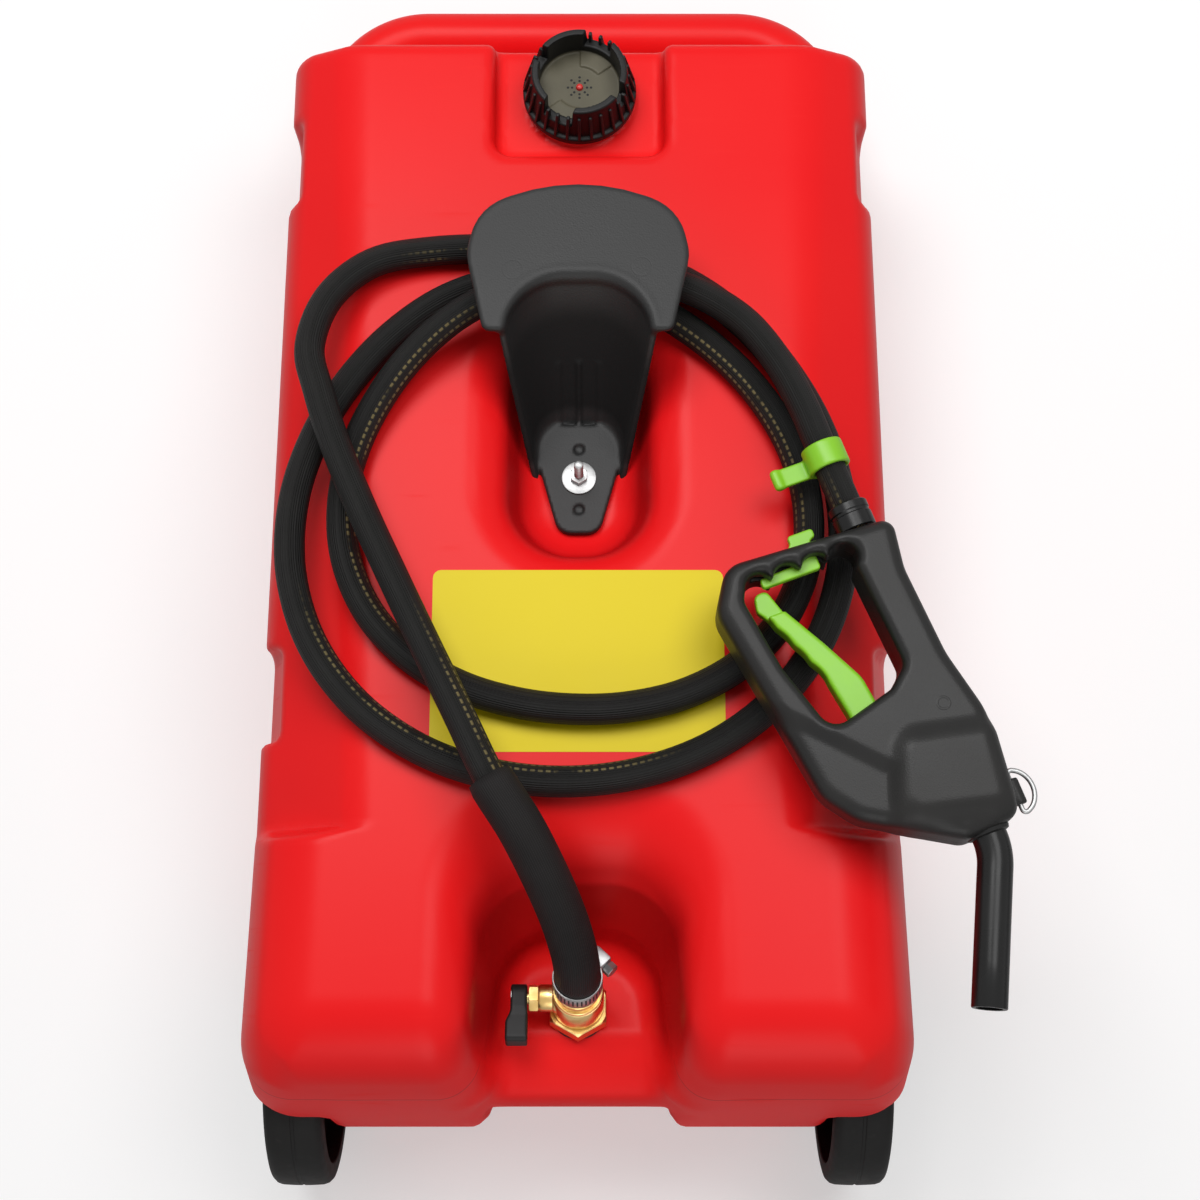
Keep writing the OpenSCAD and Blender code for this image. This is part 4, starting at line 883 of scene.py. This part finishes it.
# The outlet: a small brass ball valve screwed through the floor of its bay, with a hex to turn it by.
# Its stem comes out to the left through a packing nut, and a hose tail is screwed into its top.
brass_finish, wire, feed = new_finish("turned_brass", Metallic=1.0)
tarnish = wire.noise(90, 5)
fine = wire.noise(1400)
feed(Base_Color=tarnish.band(0.35, 0.7).tint((0.82, 0.6, 0.27), (0.6, 0.4, 0.14)),
     Roughness=0.2 + tarnish * 0.22, Normal=fine.bump(0.1, 0.0003))


stem_height = 25


def on_stem(points):
    """Millimetres with z out along the valve's stem, as metres in the frame."""
    x, y, z = axes_of(points)
    return on_valve(np.stack([-z, y, stem_height + x], -1))


def joined(first, *others):
    """Several pieces of one finish as one mesh."""
    work = bmesh.new()
    for piece in (first, *others):
        work.from_mesh(piece.data)
    work.to_mesh(first.data)
    work.free()
    for piece in others:
        bpy.data.objects.remove(piece)
    return first


shank_profile = [(6.5, -16), (12.4, -16)]
for k in range(11):
    shank_profile += [(13, -15.2 + 1.5 * k), (12.2, -14.5 + 1.5 * k)]
shank_profile += [(13, 2), (6.5, 2)]
barrel_profile = [(11.2, 37), (11.2, 13), (6.5, 13), (6.5, 11.5), (14.6, 11.5), (15, 13.4), (15.9, 14.2),
                  (16, 32), (15.2, 33.4), (14.6, 33.6), (14.6, 35), (15.4, 35.3), (15.4, 36.6), (15, 37)]
boss_profile = [(4.1, 11.5), (9.6, 11.5), (9.2, 14.5), (8.3, 15.6), (8.3, 22.6), (7.6, 24), (4.1, 24)]
valve = joined(
    turned("valve_brass", barrel_profile, brass_finish, on_valve, 72),
    hex_nut("valve_hex", 34.8, 6.5, 2.05, 12, brass_finish, on_valve),
    turned("valve_shank", shank_profile, brass_finish, on_valve, 48, 60),
    turned("valve_boss", boss_profile, brass_finish, on_stem, 48))
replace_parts(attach(valve, "caddy"), "valve_body")
packing = hex_nut("packing_hex", 14.6, 4.06, 24, 30, brass_finish, on_stem)
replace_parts(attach(packing, "caddy"), "packing_nut")
tail_profile = [(4.5, 36), (11.1, 36), (11.1, 37), (13.6, 37), (14, 37.5), (14, 42.4), (13.5, 43), (6.2, 43),
                (5.7, 45)]
for k in range(3):
    tail_profile += [(6.25, 45 + 7 * k), (5.7, 50 + 7 * k), (5.7, 52 + 7 * k)]
tail_profile += [(5.4, 67), (4.5, 67)]
hose_tail_brass = turned("hose_tail_brass", tail_profile, brass_finish, on_valve, 48)
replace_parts(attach(hose_tail_brass, "caddy"), "hose_barb")
dress(brass_finish, "outlet_nut", "nozzle_inlet", "valve_stem")
dress(zinc_finish, "valve_ball")
seat_finish = plain_finish("seat_white", 200, 2, (0.78, 0.78, 0.76), (0.86, 0.86, 0.84), Roughness=0.5)
dress(seat_finish, "valve_seats")

# The lever: a short black handle on the end of the stem, held by a small nut.
# It lies along the valve's floor while the valve is shut and stands up beside the hose when it is open.
lever_outline = outline_distance(
    [[7.5, 8.2], [7.5, -8], [6.8, -13], [6.8, -29], [-6.8, -29], [-6.8, -13], [-7.5, -8], [-7.5, 8.2]],
    [7, 4, 4, 3, 3, 4, 4, 7])


def lever_field(x, y, z):
    """Distance to the lever, with y along it, x across it and z out along the stem, in millimetres."""
    edge = lever_outline(x, y)
    low = 31 - 0.4 * ease((-7 - y) / 5)
    high = 41 + 3 * ease((-9 - y) / 9)
    body = round_max(round_max(edge, low - z, 1.2), z - high, 1.6)
    body = np.maximum(body, 3.9 - np.hypot(x, y))
    return round_max(body, -np.maximum(np.hypot(x, y) - 6.5, 37 - z), 0.4)


lever = carved("lever_handle", lever_field, (-10, -31, 28), (10, 10, 46), 0.8, black_finish, on_stem)
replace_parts(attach(lever, "valve"), "valve_lever")
lever_nut = hex_nut("lever_nut_hex", 9.4, 3.05, 37, 41, zinc_finish, on_stem)
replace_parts(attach(lever_nut, "valve"), "lever_nut")

# The bend sleeve: a thicker rubber tube with fine lengthwise ribs, slipped over the first stretch of the hose
# so that it can't kink where it leaves the valve.
sleeve_finish, wire, feed = new_finish("sleeve_rubber", IOR=1.35, Specular_IOR_Level=0.2)
around = wire.node("SeparateXYZ", Vector=wire.node("UVMap", {"uv_map": "along"}))
ribs = wire.sum("SINE", around * (full_turn * 64)) * 0.5 + 0.5
cloud = wire.noise(70, 4)
feed(Base_Color=(ribs * 0.5 + cloud * 0.5).tint((0.006, 0.005, 0.005), (0.022, 0.02, 0.02)),
     Roughness=0.5 + cloud * 0.15,
     Normal=(ribs + cloud * 0.2).bump(0.5, 0.0005))
sleeve_spans = 7
sleeve_path = hose_path[:sleeve_spans * hose_steps + 1]
sleeve_radii = np.full(len(sleeve_path), 0.0139)
sleeve_radii[[0, -1]] = 0.0131
sleeve = swept("bend_sleeve", sleeve_path, sleeve_radii, 48, sleeve_finish)
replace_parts(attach(sleeve, "caddy"), "hose_sleeve")

# The worm clamp: a slotted steel band round the sleeve, with a screw housing behind its right side.
# Turning the screw's hex head draws the band tight over the sleeve, the hose and the brass tail inside.
clamp_turn = math.radians(45)
worm_reach, worm_height = 18.9, 54


def on_clamp(points):
    """Millimetres in the valve's frame, turned so that x runs through the clamp's screw."""
    x, y, z = axes_of(points)
    return on_valve(np.stack([*spun(x, y, clamp_turn), z], -1))


def on_worm(points):
    """Millimetres with z along the clamp's screw, as metres in the frame."""
    x, y, z = axes_of(points)
    return on_clamp(np.stack([worm_reach + x, -z, worm_height + y], -1))


housing = moved(block("clamp_housing", (13.6, -6, 47.2), (23.2, 6, 60.8), 1.4), on_clamp)
housing.data.materials.append(zinc_finish)
band = joined(
    turned("clamp_band", [(14.35, 48), (15.0, 48), (15.15, 48.3), (15.15, 59.7), (15.0, 60), (14.35, 60)],
           zinc_finish, on_valve, 96), tidy(housing))
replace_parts(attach(band, "caddy"), "hose_clamp_band")
# The slots are dark strips on the band: the black sleeve behind them and painted shade inside them.
slot = block("clamp_slots", (14.9, -0.55, 50.2), (15.22, 0.55, 57.8), 0.1, segments=1)
clamp_slots = repeated(slot, 36, hole_shade_finish, on_valve)
screw = joined(
    turned("clamp_screw", [(0, -8), (2.6, -8), (3, -7.6), (3, 6.4), (0, 6.4)], zinc_finish, on_worm, 32),
    hex_nut("clamp_head", 7.8, 0.4, 6.3, 11.2, zinc_finish, on_worm))
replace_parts(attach(screw, "caddy"), "hose_clamp_screw")
for piece in (band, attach(clamp_slots, "caddy"), screw):
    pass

# The hose clip: a lime green strap clipped round the hose above the nozzle, with a tab for the finger.
# Its ring grips the hose, and the strap stands off towards the trigger's side.
green_finish = plain_finish("lime_green", 60, 3, (0.2, 0.52, 0.012), (0.27, 0.62, 0.02), (0.32, 0.14),
                            (Wire.noise, 1300), (0.08, 0.0004), Specular_IOR_Level=0.5)


def clip_field(x, y, z):
    """Distance to the clip in the nozzle's frame, in millimetres."""
    ring = round_max(np.abs(np.hypot(y, z) - 11.4) - 1.5, np.abs(x + 38) - 8, 1)
    strap = round_max(np.abs(x + 36.5) - 6, np.abs(y + 22) - 12, 3)
    strap = round_max(strap, np.abs(z + 6.5) - 1.6, 1.2)
    tab = round_max(np.hypot(y + 31.5, z + 6) - 2.6, np.abs(x + 36.5) - 6.2, 1.5)
    return round_max(round_min(ring, round_min(strap, tab, 2), 2), 9.75 - np.hypot(y, z), 0.4)


clip = carved("hose_clip_strap", clip_field, (-48, -36, -15), (-28, 15, 15), 0.9, green_finish, on_nozzle)
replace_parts(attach(clip, "caddy"), "hose_clip")

# The ferrule: a glossy black collar pressed over the end of the hose where it enters the nozzle.
# A shallow groove runs round it, and both of its ends are eased.
gloss_finish = plain_finish("gloss_black", 45, 3, 0.004, 0.01, (0.2, 0.14), IOR=1.36, Specular_IOR_Level=0.4)


def on_flow(points):
    """Millimetres with z along the nozzle's flow, as metres in the frame."""
    x, y, z = axes_of(points)
    return on_nozzle(np.stack([z, x, y], -1))


ferrule_profile = [(9.75, -5), (11.6, -5), (12.3, -4.2), (12.4, 0), (11.8, 0.8), (11.8, 2.2), (12.4, 3),
                   (12.4, 11.4), (11.9, 12), (9.75, 12)]
ferrule = turned("hose_ferrule_collar", ferrule_profile, gloss_finish, on_flow)
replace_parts(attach(ferrule, "caddy"), "hose_ferrule")

# The nozzle's shell: two black halves screwed together round the working parts, with a grip, a guard bar
# and a soft belly. They meet in a fine seam, and an ear for the bail stands on the back of the nose.
bail_x, bail_y = 190, 24
nozzle_outline = outline_distance(
    [[14, 20], [46, 14.5], [102, 17], [141, 25], [204, 19], [207, -15], [175, -69], [155, -83], [96, -91],
     [33, -100], [8, -84]], [8, 40, 60, 50, 9, 12, 30, 25, 60, 18, 16])
grip_opening = outline_distance(
    [[25, -83], [25, -12.5], [100, -9], [111, -22], [122, -63], [78, -76]], [9, 6, 9, 8, 11, 40])
belly_outline = outline_distance(
    [[138, -30], [150, 23], [199, 15], [184, -47]], [12, 8, 10, 12])


def nozzle_field(x, y, z):
    """Distance to the nozzle's shell in its own frame, in millimetres."""
    deep = np.abs(z)
    flank = np.minimum((x - 122) * 0.669 - (y + 62) * 0.743, (139 - x) * 0.349 - (y + 28) * 0.937)
    body = round_max(nozzle_outline(x, y), deep - 18.6 + 3.4 * ease(flank / 11), 9)
    finger = grip_opening(x, y)
    for middle in (-70, -52, -34, -17):
        finger = round_min(finger, np.hypot(x - 27.5, y - middle) - 8.6, 2)
    body = round_max(body, -finger, 6)
    belly = round_max(belly_outline(x, y), deep - 23.8, 9)
    body = round_min(body, belly, 8)
    ear = round_max(np.hypot(y - bail_y, z) - 4.4, np.abs(x - bail_x) - 7.8, 1)
    body = round_min(body, ear, 2)
    slot = np.maximum(np.maximum(np.abs(x - 116) - 20, np.abs(y + 40) - 24), deep - 7.5)
    body = round_max(body, -slot, 1.2)
    latch_room = np.maximum(np.maximum(np.abs(x - 14) - 14, np.abs(y + 49) - 23), np.abs(z - 3) - 3.5)
    body = round_max(body, -latch_room, 0.8)
    socket = np.maximum(np.hypot(y, z) - 10.4, 198 - x)
    return np.maximum(body, -socket)


nozzle_finish, wire, feed = new_finish("nozzle_black", IOR=1.42, Specular_IOR_Level=0.32)
grain = wire.cells(1100)
cloud = wire.noise(22, 4)
middle = tuple(on_nozzle([0, 0, 0]))
from_middle = wire.node("VectorMath", {"operation": "SUBTRACT"}, i0=wire.here(), i1=middle)
from_seam = wire.node("VectorMath", {"operation": "DOT_PRODUCT"}, 1, i0=from_middle, i1=tuple(panel_up))
seam = from_seam.near_zero(0.0003, 0.0008)
mark = wire.ring(on_nozzle([130, 2, 18.6]), 0.0036, 0.0003, 0.0008)
feed(Base_Color=cloud.tint(0.008, (0.02, 0.019, 0.018)), Roughness=0.33 + cloud * 0.16,
     Normal=(grain * 0.5 - seam * 2.0 + mark * 1.5).bump(0.25, 0.0005))
nozzle = carved("nozzle_shell", nozzle_field, (5, -102, -25), (210, 31, 25), 1.4,
                nozzle_finish, on_nozzle)
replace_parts(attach(nozzle, "caddy"), "nozzle_upper_shell", "nozzle_lower_shell")
dress(zinc_finish, "nozzle_screws", "nozzle_spool", "spool_spring", "trigger_pin")
dress(black_finish, "latch_pin")
cast_finish = plain_finish("cast_alloy", 300, 4, 0.4, (0.58, 0.58, 0.57), (0.45, 0.2), bump=(0.2, 0.0005),
                           Metallic=1.0)
dress(cast_finish, "nozzle_core", "spool_plug")

# The trigger: a lime green lever with finger scallops, pinned in the nozzle's belly; it pushes the spool.
# Its tip is thinned on one side to leave room for the latch.
trigger_pin_x, trigger_pin_y = 154, -45
trigger_outline = outline_distance(
    [[27, -65], [44, -60], [70, -46], [97, -33], [136, -28.6], [163, -42], [157, -54], [117, -49], [90, -53],
     [62, -64], [38, -75], [28, -73]], [4, 14, 30, 20, 12, 7, 7, 14, 8, 8, 5, 4])


def trigger_field(x, y, z):
    """Distance to the trigger in the nozzle's frame, in millimetres."""
    body = round_max(trigger_outline(x, y), np.abs(z) - 7, 2.6)
    body = round_max(body, -np.maximum(np.maximum(20 - x, x - 44), 0.7 - z), 1)
    for t in (0.16, 0.41, 0.66, 0.91):
        body = round_max(body, 12.6 - np.hypot(x - 42 - 52 * t, y + 86 - 22 * t), 2)
    return np.maximum(body, 3.05 - np.hypot(x - trigger_pin_x, y - trigger_pin_y))


trigger = carved("trigger_lever", trigger_field, (25, -78, -8), (165, -26, 8), 1.0, green_finish, on_nozzle)
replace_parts(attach(trigger, "trigger"), "trigger")

# The latch: a small green rocker in the guard bar that holds the trigger open, with a thumb tab outside.
# It turns on a pin across the bar and lies beside the trigger's thinned tip.
latch_pin_x, latch_pin_y = 15, -36
latch_outline = outline_distance(
    [[2, -26], [2, -42], [7, -42], [9, -44], [20, -44], [21, -67], [27, -67], [27, -30], [9, -30], [7, -26]],
    [2, 2, 2, 1, 2, 2, 2, 2, 1, 2], 4)


def latch_field(x, y, z):
    """Distance to the latch in the nozzle's frame, in millimetres."""
    body = round_max(latch_outline(x, y), np.abs(z - 3.5) - 2.5, 0.9)
    return np.maximum(body, 2.05 - np.hypot(x - latch_pin_x, y - latch_pin_y))


latch = carved("latch_rocker", latch_field, (0, -69, 0), (29, -24, 7), 0.7, green_finish, on_nozzle)
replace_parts(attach(latch, "latch"), "trigger_latch")

# The spout: a bent black tube with a plain end, held in the nozzle's nose by a collar.
# It is bored at both ends, and its tip leans towards the trigger's side.
bend, bend_r = np.radians(np.linspace(0, 26, 14)), 40
curve = np.stack([208 + bend_r * np.sin(bend), bend_r * np.cos(bend) - bend_r, 0 * bend], -1)
straight = np.array([8, 30, 55, 79.4, 80])[:, None] * [math.cos(bend[-1]), -math.sin(bend[-1]), 0]
spout_line = np.concatenate([[[x, 0, 0] for x in (192, 197, 202, 206)], curve, curve[-1] + straight])
radii = np.full(len(spout_line), 0.0103)
radii[-1] = 0.0099
spout = swept("spout_tube", on_nozzle(spout_line), radii, 48, gloss_finish, bore=0.0076)
spout.data.set_sharp_from_angle(angle=math.radians(40))
collar = turned("spout_collar", [(10.2, 204.5), (12.6, 204.5), (13, 205.2), (12.4, 207.2), (10.2, 208)],
                black_finish, on_flow)
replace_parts(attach(spout, "caddy"), "spout")
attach(collar, "caddy")

# The bail: a bent steel wire that swings in an ear on the nozzle's side, to hang it by.
# Both of its ends are turned in along one line, which it swings about.
sweep = np.radians(np.linspace(12, 168, 16))
bail_line = np.concatenate([
    [[194.2, bail_y, 0], [198, bail_y, 0], [201.6, 24.2, 0]],
    np.stack([bail_x + 13 * np.cos(sweep), bail_y + 11 * np.sin(sweep), 0 * sweep], -1),
    [[178.4, 24.2, 0], [182, bail_y, 0], [185.8, bail_y, 0]]])
bail = swept("bail_wire", smooth_path(on_nozzle(bail_line), 4), 0.0015, 14, zinc_finish)
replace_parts(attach(bail, "bail"), "wire_bail")

# The wheels: hollow black plastic, with a moulding seam round the tread, six webs each side and a long hub.
# They run loose on a plain steel axle that is kept by a domed cap at each end.
wheel_x = 178.5
wheel_finish, wire, feed = new_finish("wheel_black", IOR=1.35, Specular_IOR_Level=0.2)
scrape = wire.noise(120, 6)
dust = wire.noise(14, 3)
feed(Base_Color=(dust * 0.6 + scrape.band(0.55, 0.8) * 0.4).tint(0.008, (0.03, 0.029, 0.028)),
     Roughness=0.42 + scrape * 0.25, Normal=scrape.bump(0.25, 0.0008))
for side, name in ((-1, "left"), (1, "right")):
    def on_wheel(points, side=side):
        """Millimetres with z out along the axle, as metres in the frame."""
        x, y, z = axes_of(points)
        return np.stack([side * (wheel_x + z), axle_y + x, axle_z + y], -1) / 1000

    half_tread = [(80 - 0.5 * (z / 13) ** 2, z) for z in (13, 10, 7, 4, 1.4)] + [(79.5, 0.8)]
    half_side = [(18, 6), (19, 5), (64, 5), (66, 7), (66, 17.9), (66.6, 18.5), (74, 18.5), (76.6, 17.8),
                 (78.6, 15.8)]
    outline = half_side + half_tread
    wheel = turned("wheel_" + name + "_moulding", [(6.45, -22.1), (17.4, -22.1), (18, -21.5)]
                   + [(r, -z) for r, z in outline] + outline[::-1] + [(18, 18), (17.4, 18.5), (6.45, 18.5)],
                   wheel_finish, on_wheel, 96)
    web = block("wheel_" + name + "_webs", (16.5, -3, -10.4), (67, 3, 10.4), 0.8)
    webs = repeated(web, 6, wheel_finish, on_wheel)
    webs.data.shade_smooth()
    tidy(webs, 40)
    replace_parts(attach(wheel, "wheel_" + name), "wheel_" + name)
    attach(webs, "wheel_" + name)
    dome = [(0, 23.7), (5, 23.5), (9, 22.7), (12, 20.9), (12.9, 19.4), (12.9, 18.9), (6.4, 18.9), (6.4, 21.1),
            (0, 21.1)]
    cap_dome = turned("axle_cap_" + name, dome, black_finish, on_wheel, 48)
    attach(cap_dome, "caddy")
    if side > 0:
        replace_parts(cap_dome, "axle_caps")
dress(zinc_finish, "axle")
